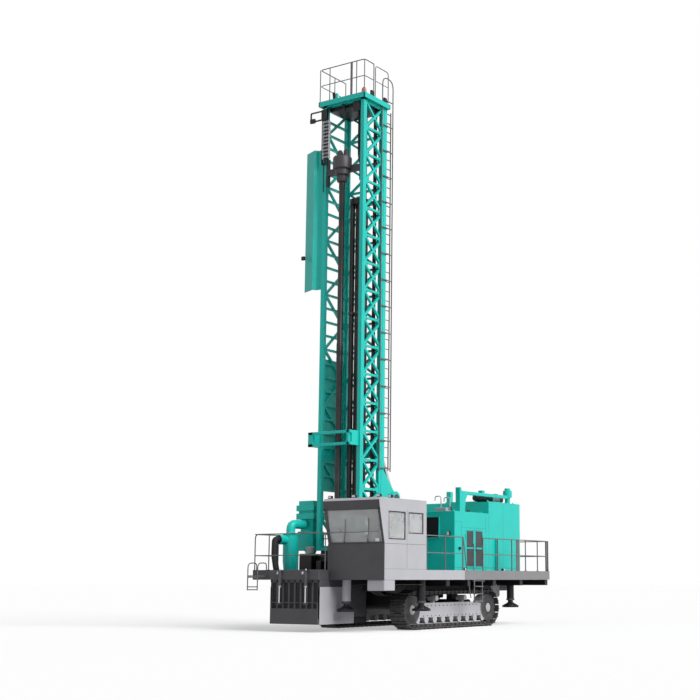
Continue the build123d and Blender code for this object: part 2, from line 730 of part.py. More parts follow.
# Mast back frame between the rear chords
with BuildPart() as back_frame:
    low = MAST_LEFT + CHORD_THICK
    high = MAST_RIGHT - CHORD_THICK
    wide = high - low
    strip = 60.0
    slant = degrees(atan2(BAY, wide - 2 * strip))
    run = hypot(BAY, wide - 2 * strip)
    with BuildSketch(Plane.YZ.offset(MAST_REAR + 30)):
        for spot in (low + strip / 2, high - strip / 2):
            with Locations((spot, (MAST_FOOT + MAST_TOP) / 2)):
                Rectangle(strip, MAST_TOP - MAST_FOOT)
        spots = [(MAST_Y, MAST_FOOT + number * BAY) for number in range(1, MAST_BAYS)]
        spots += [(MAST_Y, MAST_FOOT + BRACE / 2), (MAST_Y, MAST_TOP - BRACE / 2)]
        with Locations(*spots):
            Rectangle(wide - 20, BRACE)
        for turn, first in ((slant, 0), (-slant, 1)):
            spots = [(MAST_Y, MAST_FOOT + (number + 0.5) * BAY) for number in range(first, MAST_BAYS, 2)]
            with Locations(*spots):
                Rectangle(run, BRACE, rotation=turn)
        with Locations((MAST_Y, (MAST_FOOT + MAST_TOP) / 2)):
            Rectangle(wide, MAST_TOP - MAST_FOOT, mode=Mode.INTERSECT)
    extrude(amount=BRACE)
    # lugs for the raising cylinders' rod eyes
    for side in (1, -1):
        for cheek in (-LUG_GAP, LUG_GAP):
            y0 = MAST_Y + side * LIFT_HALF + cheek
            with BuildSketch(Plane.XZ.offset(-(y0 - 15))):
                with BuildLine():
                    Polyline(
                        (MAST_REAR + 40, LIFT_EYE[1] - 220),
                        (LIFT_EYE[0], LIFT_EYE[1] - 80),
                        (LIFT_EYE[0], LIFT_EYE[1] + 80),
                        (MAST_REAR + 40, LIFT_EYE[1] + 220),
                        close=True,
                    )
                make_face()
                with Locations(LIFT_EYE):
                    Circle(80)
            extrude(amount=-30)
    block(
        (MAST_REAR + 30, MAST_REAR + 30 + BRACE),
        (low, high),
        (LIFT_EYE[1] - 260, LIFT_EYE[1] + 260),
    )
    # arms that hold the carousel's shaft at both ends
    for base, top in (
        (CAROUSEL_BOTTOM - 130, CAROUSEL_BOTTOM - SLIDE),
        (CAROUSEL_TOP + SLIDE, CAROUSEL_TOP + 130),
    ):
        block((MAST_REAR + 30, CAROUSEL_X + 60), (CAROUSEL_Y - 90, CAROUSEL_Y + 90), (base, top))
        block((MAST_REAR + 30, MAST_REAR + 30 + BRACE), (low, high), (base, top))
save(back_frame, "mast_back")

# Mast foot: a floor open at the front, where the drill string passes
with BuildPart() as foot:
    block((MAST_REAR, MAST_FRONT), (MAST_LEFT, MAST_RIGHT), (MAST_FOOT - 90, MAST_FOOT))
    block(
        (STRING_X - 330, MAST_FRONT + 5),
        (MAST_Y - 330, MAST_Y + 330),
        (MAST_FOOT - 95, MAST_FOOT + 5),
        mode=Mode.SUBTRACT,
    )
save(foot, "mast_foot")

# Crown: beams across the top with the feed sheaves, and the railed platform on it
PLATFORM_X = (MAST_REAR - 60, MAST_FRONT + 60)
PLATFORM_Y = (MAST_LEFT - 60, MAST_RIGHT + 15)
with BuildPart() as crown:
    block(PLATFORM_X, PLATFORM_Y, (PLATFORM_TOP - 60, PLATFORM_TOP))
    block((MAST_REAR, MAST_FRONT), (MAST_LEFT, MAST_RIGHT), (MAST_TOP, PLATFORM_TOP - 60))
    block(
        (MAST_REAR + 150, MAST_FRONT - 150),
        (MAST_LEFT + 150, MAST_RIGHT - 150),
        (MAST_TOP - 5, PLATFORM_TOP - 55),
        mode=Mode.SUBTRACT,
    )
    for spot in (-350, 350):
        block(
            (MAST_REAR + 100, MAST_FRONT - 100),
            (MAST_Y + spot - 40, MAST_Y + spot + 40),
            (MAST_TOP, PLATFORM_TOP - 60),
        )
save(crown, "mast_crown")


def rail_line(corners, base, height, between=()):
    """Railing of two round rails through corner points, on posts at the corners and between them."""
    for (x0, y0), (x1, y1) in zip(corners, corners[1:]):
        for level in (height, height / 2):
            bar((x0, y0, base + level), (x1, y1, base + level), RAIL_TUBE)
    for x0, y0 in [*corners, *between]:
        bar((x0, y0, base), (x0, y0, base + height + POST_TUBE), POST_TUBE)


with BuildPart() as top_rail:
    inset = 40
    x0, x1 = PLATFORM_X[0] + inset, PLATFORM_X[1] - inset
    y0, y1 = PLATFORM_Y[0] + inset, PLATFORM_Y[1] - inset
    rail_line(
        [(x0, y1), (x1, y1), (x1, y0), (x0, y0), (x0, y0 + 1100)],
        PLATFORM_TOP,
        TOP_RAIL_HEIGHT,
        between=[(x1, (y0 + y1) / 2)],
    )
save(top_rail, "mast_top_rail")

# Mast ladder behind the right rear chord
LADDER_DEPTH = 330.0
with BuildPart() as ladder:
    edge = MAST_RIGHT - LADDER_INSET + LADDER_STILE
    base = MAST_FOOT + 2600
    top = MAST_TOP
    block((MAST_REAR - LADDER_DEPTH, MAST_REAR - LADDER_DEPTH + 30), (edge - LADDER_STILE, edge), (base, top))
    rungs = 38
    step = (top - base - 200) / (rungs - 1)
    for number in range(rungs):
        level = base + 100 + number * step
        block((MAST_REAR - LADDER_DEPTH + 20, MAST_REAR), (edge - LADDER_STILE, edge), (level - 12, level + 12))
save(ladder, "mast_ladder")

# Folded shield panel on the left of the mast
with BuildPart() as panel:
    with BuildSketch(Plane.XY.offset(11100)):
        with BuildLine():
            Polyline(
                (MAST_FRONT - 60, MAST_LEFT),
                (MAST_FRONT - 60, MAST_LEFT - 160),
                (MAST_FRONT + 60, MAST_LEFT - 230),
                (MAST_FRONT - 120, MAST_LEFT - 560),
                (MAST_FRONT - 140, MAST_LEFT - 545),
                (MAST_FRONT + 35, MAST_LEFT - 225),
                (MAST_FRONT - 85, MAST_LEFT - 150),
                (MAST_FRONT - 85, MAST_LEFT),
                close=True,
            )
        make_face()
    extrude(amount=5000)
save(panel, "mast_shield")

# Yoke in front of the mast, clear of the head's path
YOKE_X = 3720.0
with BuildPart() as yoke:
    for level in (5980.0, 6370.0):
        block((YOKE_X, YOKE_X + 70), (MAST_LEFT, MAST_RIGHT - 60), (level, level + 60))
    for spot in (MAST_LEFT, MAST_RIGHT - 520, MAST_RIGHT - 130):
        block((YOKE_X, YOKE_X + 70), (spot, spot + 70), (5980, 6430))
    for spot in (MAST_LEFT, MAST_RIGHT - 130):
        for level in (5980.0, 6370.0):
            block((MAST_FRONT, YOKE_X), (spot, spot + 70), (level, level + 60))
save(yoke, "mast_yoke")

# Rotary head on its carriage, which runs between the front chords
HEAD_TOP = HEAD_BOTTOM + HEAD_HEIGHT
with BuildPart() as head:
    with Locations((STRING_X, MAST_Y, HEAD_BOTTOM)):
        Cylinder(HEAD_RADIUS, HEAD_HEIGHT, align=(Align.CENTER, Align.CENTER, Align.MIN))
    with Locations((STRING_X - 40, MAST_Y - 130, HEAD_TOP), (STRING_X - 40, MAST_Y + 130, HEAD_TOP)):
        Cylinder(95, 380, align=(Align.CENTER, Align.CENTER, Align.MIN))
    inner_left = MAST_LEFT + CHORD_THICK + SLIDE
    inner_right = MAST_RIGHT - CHORD_THICK - SLIDE
    block((STRING_X - 210, STRING_X - 60), (inner_left, inner_right), (HEAD_BOTTOM + 120, HEAD_BOTTOM + 330))
    for edge in (inner_left, inner_right - 60):
        block((STRING_X - 210, STRING_X - 60), (edge, edge + 60), (HEAD_BOTTOM - 250, HEAD_TOP + 250))
save(head, "rotary_head")

with BuildPart() as string:
    with Locations((STRING_X, MAST_Y, STRING_END)):
        Cylinder(
            STRING_RADIUS,
            HEAD_BOTTOM - SLIDE - STRING_END,
            align=(Align.CENTER, Align.CENTER, Align.MIN),
        )
save(string, "drill_string")

# Carousel: pipes held between two plates on a shaft
with BuildPart() as carousel:
    height = CAROUSEL_TOP - CAROUSEL_BOTTOM
    with Locations((CAROUSEL_X, CAROUSEL_Y, CAROUSEL_BOTTOM)):
        Cylinder(60, height, align=(Align.CENTER, Align.CENTER, Align.MIN))
        Cylinder(CAROUSEL_PLATE, 60, align=(Align.CENTER, Align.CENTER, Align.MIN))
    with Locations((CAROUSEL_X, CAROUSEL_Y, CAROUSEL_TOP)):
        Cylinder(CAROUSEL_PLATE, 200, align=(Align.CENTER, Align.CENTER, Align.MAX))
save(carousel, "pipe_carousel")

with BuildPart() as pipes:
    with Locations((CAROUSEL_X, CAROUSEL_Y, CAROUSEL_BOTTOM + 60)):
        with PolarLocations(CAROUSEL_CIRCLE, PIPE_COUNT, start_angle=45):
            Cylinder(
                PIPE_RADIUS,
                CAROUSEL_TOP - CAROUSEL_BOTTOM - 260,
                align=(Align.CENTER, Align.CENTER, Align.MIN),
            )
save(pipes, "stored_pipes")

# Raising cylinders
lift_run = hypot(LIFT_EYE[0] - LIFT_BASE[0], LIFT_EYE[1] - LIFT_BASE[1])
lift_x = (LIFT_EYE[0] - LIFT_BASE[0]) / lift_run
lift_z = (LIFT_EYE[1] - LIFT_BASE[1]) / lift_run
BARREL_LENGTH = 2300.0


def lift_point(distance, y):
    """Point on a raising cylinder's axis at a distance from its base pin."""
    return (LIFT_BASE[0] + lift_x * distance, y, LIFT_BASE[1] + lift_z * distance)


LIFT_SIDES = (MAST_Y + LIFT_HALF, MAST_Y - LIFT_HALF)
with BuildPart() as barrels:
    for y in LIFT_SIDES:
        bar((LIFT_BASE[0], y - 60, LIFT_BASE[1]), (LIFT_BASE[0], y + 60, LIFT_BASE[1]), 85)
        bar(lift_point(20, y), lift_point(240, y), 55)
        bar(lift_point(220, y), lift_point(BARREL_LENGTH, y), LIFT_BARREL)
        bar(lift_point(420, y), lift_point(BARREL_LENGTH + 10, y), LIFT_ROD + SLIDE, mode=Mode.SUBTRACT)
        bar(
            (LIFT_BASE[0], y - 70, LIFT_BASE[1]),
            (LIFT_BASE[0], y + 70, LIFT_BASE[1]),
            45 + PIN_FIT,
            mode=Mode.SUBTRACT,
        )
save(barrels, "lift_barrels")

with BuildPart() as rods:
    for y in LIFT_SIDES:
        bar(lift_point(2100, y), lift_point(lift_run - 40, y), LIFT_ROD)
        bar((LIFT_EYE[0], y - 74, LIFT_EYE[1]), (LIFT_EYE[0], y + 74, LIFT_EYE[1]), 75)
save(rods, "lift_rods")

# Levelling jacks: a tube on the chassis and a leg with a round pad
JACKS = (
    # name, x, y
    ("front_right", 4600.0, MAST_Y + 1350),
    ("front_left", 4600.0, MAST_Y - 1350),
    ("middle_right", MIDDLE_JACK_X, MIDDLE_JACK_Y),
    ("middle_left", MIDDLE_JACK_X, -MIDDLE_JACK_Y),
    ("rear_right", -3960.0, 1800.0),
    ("rear_left", -3960.0, -1800.0),
)
JACK_TOP = DECK_TOP - DECK_PLATE
with BuildPart() as tubes:
    for name, x, y in JACKS:
        with Locations((x, y, JACK_TUBE_BOTTOM)):
            Cylinder(JACK_TUBE, JACK_TOP - JACK_TUBE_BOTTOM, align=(Align.CENTER, Align.CENTER, Align.MIN))
            Cylinder(
                JACK_LEG + SLIDE,
                JACK_TOP - JACK_TUBE_BOTTOM - 40,
                align=(Align.CENTER, Align.CENTER, Align.MIN),
                mode=Mode.SUBTRACT,
            )
save(tubes, "jack_tubes")

for name, x, y in JACKS:
    with BuildPart() as leg:
        with Locations((x, y, JACK_PAD_BOTTOM)):
            Cylinder(JACK_PAD_RADIUS, 70, align=(Align.CENTER, Align.CENTER, Align.MIN))
            Cylinder(
                JACK_LEG,
                JACK_TOP - JACK_PAD_BOTTOM - 60,
                align=(Align.CENTER, Align.CENTER, Align.MIN),
            )
    save(leg, f"jack_{name}")

# Deck railings
EDGE = HALF_WIDTH - 40
REAR_EDGE = DECK_REAR + 40
with BuildPart() as rail_right:
    front_posts = [(x, EDGE) for x in (1600, 700)]
    rear_posts = [(x, EDGE) for x in (-1900, -2900, -3900, -4800)]
    rail_line([(CAB_REAR - 60, EDGE), (ACCESS_X[1], EDGE)], DECK_TOP, RAIL_HEIGHT, front_posts)
    rail_line([(ACCESS_X[0], EDGE), (REAR_EDGE, EDGE)], DECK_TOP, RAIL_HEIGHT, rear_posts)
save(rail_right, "railing_right")

with BuildPart() as rail_left:
    posts = [(x, -EDGE) for x in (-4800, -3900, -2900, -1900, -900, 100, 1100)]
    posts += [(REAR_EDGE, y) for y in (-1250, 0, 1250)]
    rail_line([(2200, -EDGE), (REAR_EDGE, -EDGE), (REAR_EDGE, EDGE - 90)], DECK_TOP, RAIL_HEIGHT, posts)
save(rail_left, "railing_left")

with BuildPart() as rail_front:
    front = FRONT_DECK_END - 40
    posts = [(front, y) for y in (-1900, MAST_LEFT, -300)]
    rail_line([(4300, -EDGE), (front, -EDGE), (front, 250)], DECK_TOP, RAIL_HEIGHT, posts)
save(rail_front, "railing_front")

# Access ladder, hung from a hinge tube under the right deck edge, between two lugs of the deck
with BuildPart() as access:
    bar(
        (ACCESS_X[0] + SLIDE, ACCESS_Y, ACCESS_Z),
        (ACCESS_X[1] - SLIDE, ACCESS_Y, ACCESS_Z),
        ACCESS_TUBE,
    )
    for x in (ACCESS_X[0] + 40, ACCESS_X[1] - 40):
        block((x - 20, x + 20), (ACCESS_Y - 12, ACCESS_Y + 12), (ACCESS_BOTTOM, ACCESS_Z))
    steps = 3
    for number in range(steps):
        level = ACCESS_BOTTOM + 60 + number * (ACCESS_Z - ACCESS_BOTTOM) / steps
        block(
            (ACCESS_X[0] + 40, ACCESS_X[1] - 40), (ACCESS_Y - 45, ACCESS_Y + 45), (level - 15, level + 15)
        )
save(access, "access_ladder")
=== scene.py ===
import math

import bmesh
import bpy
from mathutils import Matrix, Vector


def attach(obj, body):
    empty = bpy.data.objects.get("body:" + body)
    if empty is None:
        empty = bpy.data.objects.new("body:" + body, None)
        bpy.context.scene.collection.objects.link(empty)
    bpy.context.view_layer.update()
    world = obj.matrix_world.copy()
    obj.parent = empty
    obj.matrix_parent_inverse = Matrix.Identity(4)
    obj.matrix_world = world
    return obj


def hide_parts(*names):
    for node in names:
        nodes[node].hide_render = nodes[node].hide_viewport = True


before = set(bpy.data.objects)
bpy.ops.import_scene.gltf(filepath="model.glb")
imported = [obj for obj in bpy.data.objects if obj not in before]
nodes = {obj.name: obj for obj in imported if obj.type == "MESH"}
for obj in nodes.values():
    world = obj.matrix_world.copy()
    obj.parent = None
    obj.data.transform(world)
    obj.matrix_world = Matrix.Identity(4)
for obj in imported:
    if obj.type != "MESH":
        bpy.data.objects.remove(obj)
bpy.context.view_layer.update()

# Camera
# Stands at eye height off the cab's front corner, about 40 m from the drill end, and looks
# up at the mast. The frame's shift puts the rig right of the middle.
EYE = Vector((37.2, 25.3, 1.62))
HEADING = Vector((-0.843, -0.537))
PITCH = math.radians(10.17)
FOCAL_LENGTH = 65.7
SHIFT = -0.139
aim = Vector((*(HEADING.normalized() * math.cos(PITCH)), math.sin(PITCH)))
camera_data = bpy.data.cameras.new("camera")
camera_data.lens = FOCAL_LENGTH
camera_data.shift_x = SHIFT
camera_data.clip_end = 400
camera = bpy.data.objects.new("camera", camera_data)
camera.location = EYE
camera.rotation_euler = aim.to_track_quat("-Z", "Y").to_euler()
bpy.context.scene.collection.objects.link(camera)
bpy.context.scene.camera = camera

# Studio
# A white room: a broad lamp over the cab side, a weak one from the drill end, and a pale
# floor that keeps the rig's soft shadow and otherwise meets the white background.
bpy.context.scene.view_settings.view_transform = "Standard"
ROOM_LIGHT = 0.2
LAMPS = (
    # name, direction towards the lamp, strength, how wide it is in degrees
    ("key", (0.08, 0.85, 0.70), 3.3, 40),
    ("front", (0.90, -0.25, 0.45), 0.18, 60),
)
for lamp_name, direction, strength, width in LAMPS:
    lamp_data = bpy.data.lights.new(lamp_name, "SUN")
    lamp_data.energy = strength
    lamp_data.angle = math.radians(width)
    lamp = bpy.data.objects.new(lamp_name, lamp_data)
    lamp.rotation_euler = Vector(direction).to_track_quat("Z", "Y").to_euler()
    bpy.context.scene.collection.objects.link(lamp)


def seen_directly(tree):
    """1 for camera, glossy and transmission rays, 0 for the light that falls on the rig."""
    rays = tree.nodes.new("ShaderNodeLightPath")
    total = rays.outputs["Is Camera Ray"]
    for kind in ("Is Glossy Ray", "Is Transmission Ray"):
        either = tree.nodes.new("ShaderNodeMath")
        either.operation = "MAXIMUM"
        tree.links.new(total, either.inputs[0])
        tree.links.new(rays.outputs[kind], either.inputs[1])
        total = either.outputs[0]
    return total


world = bpy.data.worlds.new("room")
world.use_nodes = True
bpy.context.scene.world = world
background = world.node_tree.nodes["Background"]
background.inputs["Color"].default_value = (1, 1, 1, 1)
level = world.node_tree.nodes.new("ShaderNodeMapRange")
level.inputs["To Min"].default_value = ROOM_LIGHT
level.inputs["To Max"].default_value = 1.0
world.node_tree.links.new(seen_directly(world.node_tree), level.inputs["Value"])
world.node_tree.links.new(level.outputs["Result"], background.inputs["Strength"])

FLOOR_HALF = 300.0
FLOOR_TINT = 0.6
FLOOR_GLOW = 0.45
floor_mesh = bpy.data.meshes.new("floor")
corners = [(-1, -1), (1, -1), (1, 1), (-1, 1)]
floor_mesh.from_pydata(
    [(x * FLOOR_HALF, y * FLOOR_HALF, 0) for x, y in corners], [], [(0, 1, 2, 3)]
)
floor = bpy.data.objects.new("floor", floor_mesh)
bpy.context.scene.collection.objects.link(floor)
floor_finish = bpy.data.materials.new("pale_floor")
floor_finish.use_nodes = True
floor_nodes = floor_finish.node_tree.nodes
floor_nodes.clear()
matt = floor_nodes.new("ShaderNodeBsdfDiffuse")
matt.inputs["Color"].default_value = (FLOOR_TINT, FLOOR_TINT, FLOOR_TINT, 1)
glow = floor_nodes.new("ShaderNodeEmission")
share = floor_nodes.new("ShaderNodeMath")
share.operation = "MULTIPLY"
share.inputs[1].default_value = FLOOR_GLOW
both = floor_nodes.new("ShaderNodeAddShader")
surface = floor_nodes.new("ShaderNodeOutputMaterial")
join = floor_finish.node_tree.links.new
join(seen_directly(floor_finish.node_tree), share.inputs[0])
join(share.outputs[0], glow.inputs["Strength"])
join(matt.outputs[0], both.inputs[0])
join(glow.outputs[0], both.inputs[1])
join(both.outputs[0], surface.inputs["Surface"])
floor_mesh.materials.append(floor_finish)


# Tracks
# Two crawler chains of bare cast steel: fifty shoes a side, each with one lug, two pairs of
# link plates, a pin and four bolts, on the loop of the solid tracks that they replace. The
# frames between the runs are painted light grey, with bolted hubs on the drive end.
class Shape:
    """A piece in the making, gathered from closed blocks, rods, tubes and prisms."""

    def __init__(self):
        self.mesh = bmesh.new()

    def block(self, x, y, z, chamfer=0.0):
        """Box between two limits on each axis, its edges broken by a chamfer."""
        middle = [(low + high) / 2 for low, high in (x, y, z)]
        size = [abs(high - low) for low, high in (x, y, z)]
        place = Matrix.Translation(middle) @ Matrix.Diagonal((*size, 1))
        made = bmesh.ops.create_cube(self.mesh, size=1.0, matrix=place)
        if chamfer:
            edges = list({edge for corner in made["verts"] for edge in corner.link_edges})
            bmesh.ops.bevel(
                self.mesh, geom=edges, offset=chamfer, segments=1, profile=0.5, affect="EDGES"
            )
        return self

    def blocks(self, *rows, chamfer=0.0):
        """Boxes of one chamfer, each from its limits on three axes."""
        for row in rows:
            self.block(*row, chamfer=chamfer)

    def border(self, axis, depth, across, up, width, chamfer=0.0):
        """Four bars round a rectangle that faces along an axis, the two upright ones first."""
        place = {
            "x": lambda a, b: (depth, a, b), "y": lambda a, b: (a, depth, b), "z": lambda a,
            b: (a, b, depth),
        }[axis]
        for bar in ((across[0], across[0] + width), (across[1] - width, across[1])):
            self.block(*place(bar, up), chamfer=chamfer)
        for bar in ((up[0], up[0] + width), (up[1] - width, up[1])):
            self.block(*place(across, bar), chamfer=chamfer)

    def rod(self, start, end, radius, sides=14, end_radius=None):
        """Round bar between two points, or a cone where its end has another radius."""
        start, end = Vector(start), Vector(end)
        run = end - start
        bmesh.ops.create_cone(
            self.mesh,
            cap_ends=True,
            segments=sides,
            radius1=radius,
            radius2=radius if end_radius is None else end_radius,
            depth=run.length,
            matrix=Matrix.Translation(
                (start + end) / 2
            ) @ run.to_track_quat("Z", "Y").to_matrix().to_4x4(),
        )
        return self

    def tube(self, points, radius, sides=8, bend=0.1):
        """Round tube through points, bent at each corner."""
        corners = [Vector(point) for point in points]
        path = [corners[0]]
        for before, corner, after in zip(corners, corners[1:], corners[2:]):
            cut = min(bend, (corner - before).length / 2.01, (after - corner).length / 2.01)
            enter = corner + (before - corner).normalized() * cut
            leave = corner + (after - corner).normalized() * cut
            for step in range(5):
                share = step / 4
                path.append(enter.lerp(corner, share).lerp(corner.lerp(leave, share), share))
        path.append(corners[-1])
        side = (path[1] - path[0]).orthogonal().normalized()
        rings = []
        for number, point in enumerate(path):
            ahead = (path[min(number + 1, len(path) - 1)] - path[max(number - 1, 0)]).normalized()
            side = (side - ahead * side.dot(ahead)).normalized()
            up = ahead.cross(side)
            turns = [2 * math.pi * n / sides for n in range(sides)]
            ring = [
                point + radius * (side * math.cos(turn) + up * math.sin(turn)) for turn in turns
            ]
            rings.append([self.mesh.verts.new(place) for place in ring])
        for ring, following in zip(rings, rings[1:]):
            for n in range(sides):
                self.mesh.faces.new((ring[n - 1], ring[n], following[n], following[n - 1]))
        self.mesh.faces.new(rings[0])
        self.mesh.faces.new(rings[-1])
        return self

    def prism(self, outline, axis, low, high):
        """Solid of one outline, drawn along an axis from low to high."""
        place = {
            "x": lambda a, b, t: (t, a, b), "y": lambda a, b, t: (a, t, b), "z": lambda a, b,
            t: (a, b, t),
        }
        ends = [
            [self.mesh.verts.new(place[axis](a, b, t)) for a, b in outline] for t in (low, high)
        ]
        for end in ends:
            self.mesh.faces.new(end)
        for n in range(len(outline)):
            self.mesh.faces.new((ends[0][n - 1], ends[0][n], ends[1][n], ends[1][n - 1]))
        return self

    def beam(self, start, end, width, axis, low, high):
        """Flat bar of a width between two points of a plane, drawn along the plane's axis."""
        run = Vector(end) - Vector(start)
        off = Vector((-run.y, run.x)).normalized() * width / 2
        corners = [Vector(start) + off, Vector(end) + off, Vector(end) - off, Vector(start) - off]
        return self.prism([tuple(corner) for corner in corners], axis, low, high)

    def turned(self, centre, axis, profile, sides=24):
        """Body of revolution: a closed profile of radius and distance, turned round an axis."""
        spin = Vector(axis).to_track_quat("Z", "Y")
        rings = []
        for radius, along in profile:
            if radius < 1e-6:
                rings.append([self.mesh.verts.new(Vector(centre) + spin @ Vector((0, 0, along)))])
                continue
            turns = [2 * math.pi * n / sides for n in range(sides)]
            ring = [
                Vector((radius * math.cos(turn), radius * math.sin(turn), along)) for turn in turns
            ]
            rings.append([self.mesh.verts.new(Vector(centre) + spin @ place) for place in ring])
        for ring, following in zip(rings, rings[1:] + rings[:1]):
            if len(ring) == 1 and len(following) == 1:
                continue
            for n in range(sides):
                if len(ring) == 1:
                    face = [ring[0], following[n], following[n - 1]]
                elif len(following) == 1:
                    face = [ring[n - 1], ring[n], following[0]]
                else:
                    face = [ring[n - 1], ring[n], following[n], following[n - 1]]
                self.mesh.faces.new(face)
        return self

    def become(self, name, material, body="chassis", replaced=()):
        """Finished piece in one material, on a body; a template has none."""
        bmesh.ops.recalc_face_normals(self.mesh, faces=self.mesh.faces)
        mesh = bpy.data.meshes.new(name)
        self.mesh.to_mesh(mesh)
        self.mesh.free()
        mesh.materials.append(material)
        mesh.polygons.foreach_set("use_smooth", [True] * len(mesh.polygons))
        mesh.set_sharp_from_angle(angle=math.radians(32))
        piece = bpy.data.objects.new(name, mesh)
        bpy.context.scene.collection.objects.link(piece)
        if body:
            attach(piece, body)
        if replaced:
            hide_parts(*replaced)
        return piece


def finish(
    name, colour, roughness, metallic=0.0, coat=0.0, mottle=0.1, skin=0.0006, edge=0.35, dust=0.0,
):
    """Paint, metal or rubber: the colour wanders, the edges get a painted highlight, dust lies low.
    """
    material = bpy.data.materials.new(name)
    material.use_nodes = True
    tree = material.node_tree
    make, join = tree.nodes.new, tree.links.new
    shader = tree.nodes["Principled BSDF"]
    shader.inputs["Metallic"].default_value = metallic
    shader.inputs["Coat Weight"].default_value = coat
    shader.inputs["Coat Roughness"].default_value = 0.12
    shader.inputs["Specular IOR Level"].default_value = 0.3
    place = make("ShaderNodeTexCoord").outputs["Object"]

    def noise(scale, detail):
        cloud = make("ShaderNodeTexNoise")
        cloud.inputs["Scale"].default_value = scale
        cloud.inputs["Detail"].default_value = detail
        join(place, cloud.inputs["Vector"])
        return cloud.outputs["Fac"]

    def spread(value, low, high, start=0.0, end=1.0):
        span = make("ShaderNodeMapRange")
        span.inputs["From Min"].default_value = start
        span.inputs["From Max"].default_value = end
        span.inputs["To Min"].default_value = low
        span.inputs["To Max"].default_value = high
        join(value, span.inputs["Value"])
        return span.outputs["Result"]

    def mix(share, first, second):
        blend = make("ShaderNodeMix")
        blend.data_type = "RGBA"
        join(share, blend.inputs["Factor"])
        for socket, value in (("A_Color", first), ("B_Color", second)):
            target = next(s for s in blend.inputs if s.identifier == socket)
            if isinstance(value, tuple):
                target.default_value = (*value, 1)
            else:
                join(value, target)
        return next(s for s in blend.outputs if s.identifier == "Result_Color")

    dull = tuple(c * (1 - mottle) for c in colour)
    fresh = tuple(min(1.0, c * (1 + mottle)) for c in colour)
    paint = mix(spread(noise(1.7, 6), 0.0, 1.0, 0.3, 0.7), dull, fresh)
    # Painted highlight: the colour is lightened along every edge that the Bevel node finds.
    if edge:
        rounded = make("ShaderNodeBevel")
        rounded.samples = 3
        rounded.inputs["Radius"].default_value = 0.012
        flat = make("ShaderNodeNewGeometry")
        facing = make("ShaderNodeVectorMath")
        facing.operation = "DOT_PRODUCT"
        join(rounded.outputs["Normal"], facing.inputs[0])
        join(flat.outputs["Normal"], facing.inputs[1])
        painted_edge_highlight = tuple(min(1.0, c * 1.25 + 0.1) for c in colour)
        paint = mix(spread(facing.outputs["Value"], edge, 0.0, 0.88, 0.99), paint, painted_edge_highlight)
    if dust:
        height = make("ShaderNodeSeparateXYZ")
        join(place, height.inputs[0])
        low = spread(height.outputs["Z"], dust, 0.0, 0.0, 1.5)
        patchy = make("ShaderNodeMath")
        patchy.operation = "MULTIPLY"
        join(low, patchy.inputs[0])
        join(spread(noise(9.0, 8), 0.2, 1.0, 0.35, 0.65), patchy.inputs[1])
        paint = mix(patchy.outputs[0], paint, (0.3, 0.28, 0.26))
    join(paint, shader.inputs["Base Color"])
    join(
        spread(noise(23.0, 4), roughness * 0.85, min(1.0, roughness * 1.15)),
        shader.inputs["Roughness"],
    )
    bump = make("ShaderNodeBump")
    bump.inputs["Distance"].default_value = skin
    bump.inputs["Strength"].default_value = 0.5
    join(noise(160.0, 2), bump.inputs["Height"])
    join(bump.outputs["Normal"], shader.inputs["Normal"])
    return material


def dress(material, *names):
    """Give CAD nodes their finish through their own material slots."""
    for name in names:
        for place in nodes[name].material_slots:
            place.material = material


def copying_tree():
    """Tree that sets a template on every point, turned as it says and spun a little."""
    tree = bpy.data.node_groups.new("copies", "GeometryNodeTree")
    tree.interface.new_socket("Points", in_out="INPUT", socket_type="NodeSocketGeometry")
    kinds = {
        "Template": "Object", "Finish": "Material", "Size": "Float", "Spin": "Float", "Seed": "Int"
    }
    given_names = {
        name: tree.interface.new_socket(
            name, in_out="INPUT", socket_type=f"NodeSocket{kind}"
        ).identifier
        for name, kind in kinds.items()
    }
    tree.interface.new_socket("Copies", in_out="OUTPUT", socket_type="NodeSocketGeometry")
    make, join = tree.nodes.new, tree.links.new
    given, result = make("NodeGroupInput"), make("NodeGroupOutput")
    template = make("GeometryNodeObjectInfo")
    turn = make("GeometryNodeInputNamedAttribute")
    turn.data_type = "FLOAT_VECTOR"
    turn.inputs["Name"].default_value = "turn"
    as_turn, as_spin = make("FunctionNodeEulerToRotation"), make("FunctionNodeEulerToRotation")
    put = make("GeometryNodeInstanceOnPoints")
    least = make("ShaderNodeMath")
    least.operation = "MULTIPLY"
    least.inputs[1].default_value = -1.0
    chance = make("FunctionNodeRandomValue")
    about_z = make("ShaderNodeCombineXYZ")
    spin = make("GeometryNodeRotateInstances")
    real = make("GeometryNodeRealizeInstances")
    finish_all = make("GeometryNodeSetMaterial")
    join(given.outputs["Template"], template.inputs["Object"])
    join(turn.outputs["Attribute"], as_turn.inputs["Euler"])
    join(given.outputs["Points"], put.inputs["Points"])
    join(template.outputs["Geometry"], put.inputs["Instance"])
    join(as_turn.outputs["Rotation"], put.inputs["Rotation"])
    join(given.outputs["Size"], put.inputs["Scale"])
    join(given.outputs["Spin"], least.inputs[0])
    chance_inputs = {socket.identifier: socket for socket in chance.inputs}
    join(least.outputs[0], chance_inputs["Min_001"])
    join(given.outputs["Spin"], chance_inputs["Max_001"])
    join(given.outputs["Seed"], chance_inputs["Seed"])
    chance_outputs = {socket.identifier: socket for socket in chance.outputs}
    join(chance_outputs["Value_001"], about_z.inputs["Z"])
    join(about_z.outputs["Vector"], as_spin.inputs["Euler"])
    join(put.outputs["Instances"], spin.inputs["Instances"])
    join(as_spin.outputs["Rotation"], spin.inputs["Rotation"])
    join(spin.outputs["Instances"], real.inputs["Geometry"])
    join(real.outputs["Geometry"], finish_all.inputs["Geometry"])
    join(given.outputs["Finish"], finish_all.inputs["Material"])
    join(finish_all.outputs["Geometry"], result.inputs["Copies"])
    return tree, given_names


COPIES, COPY_INPUTS = copying_tree()
COPY_SEED = 7


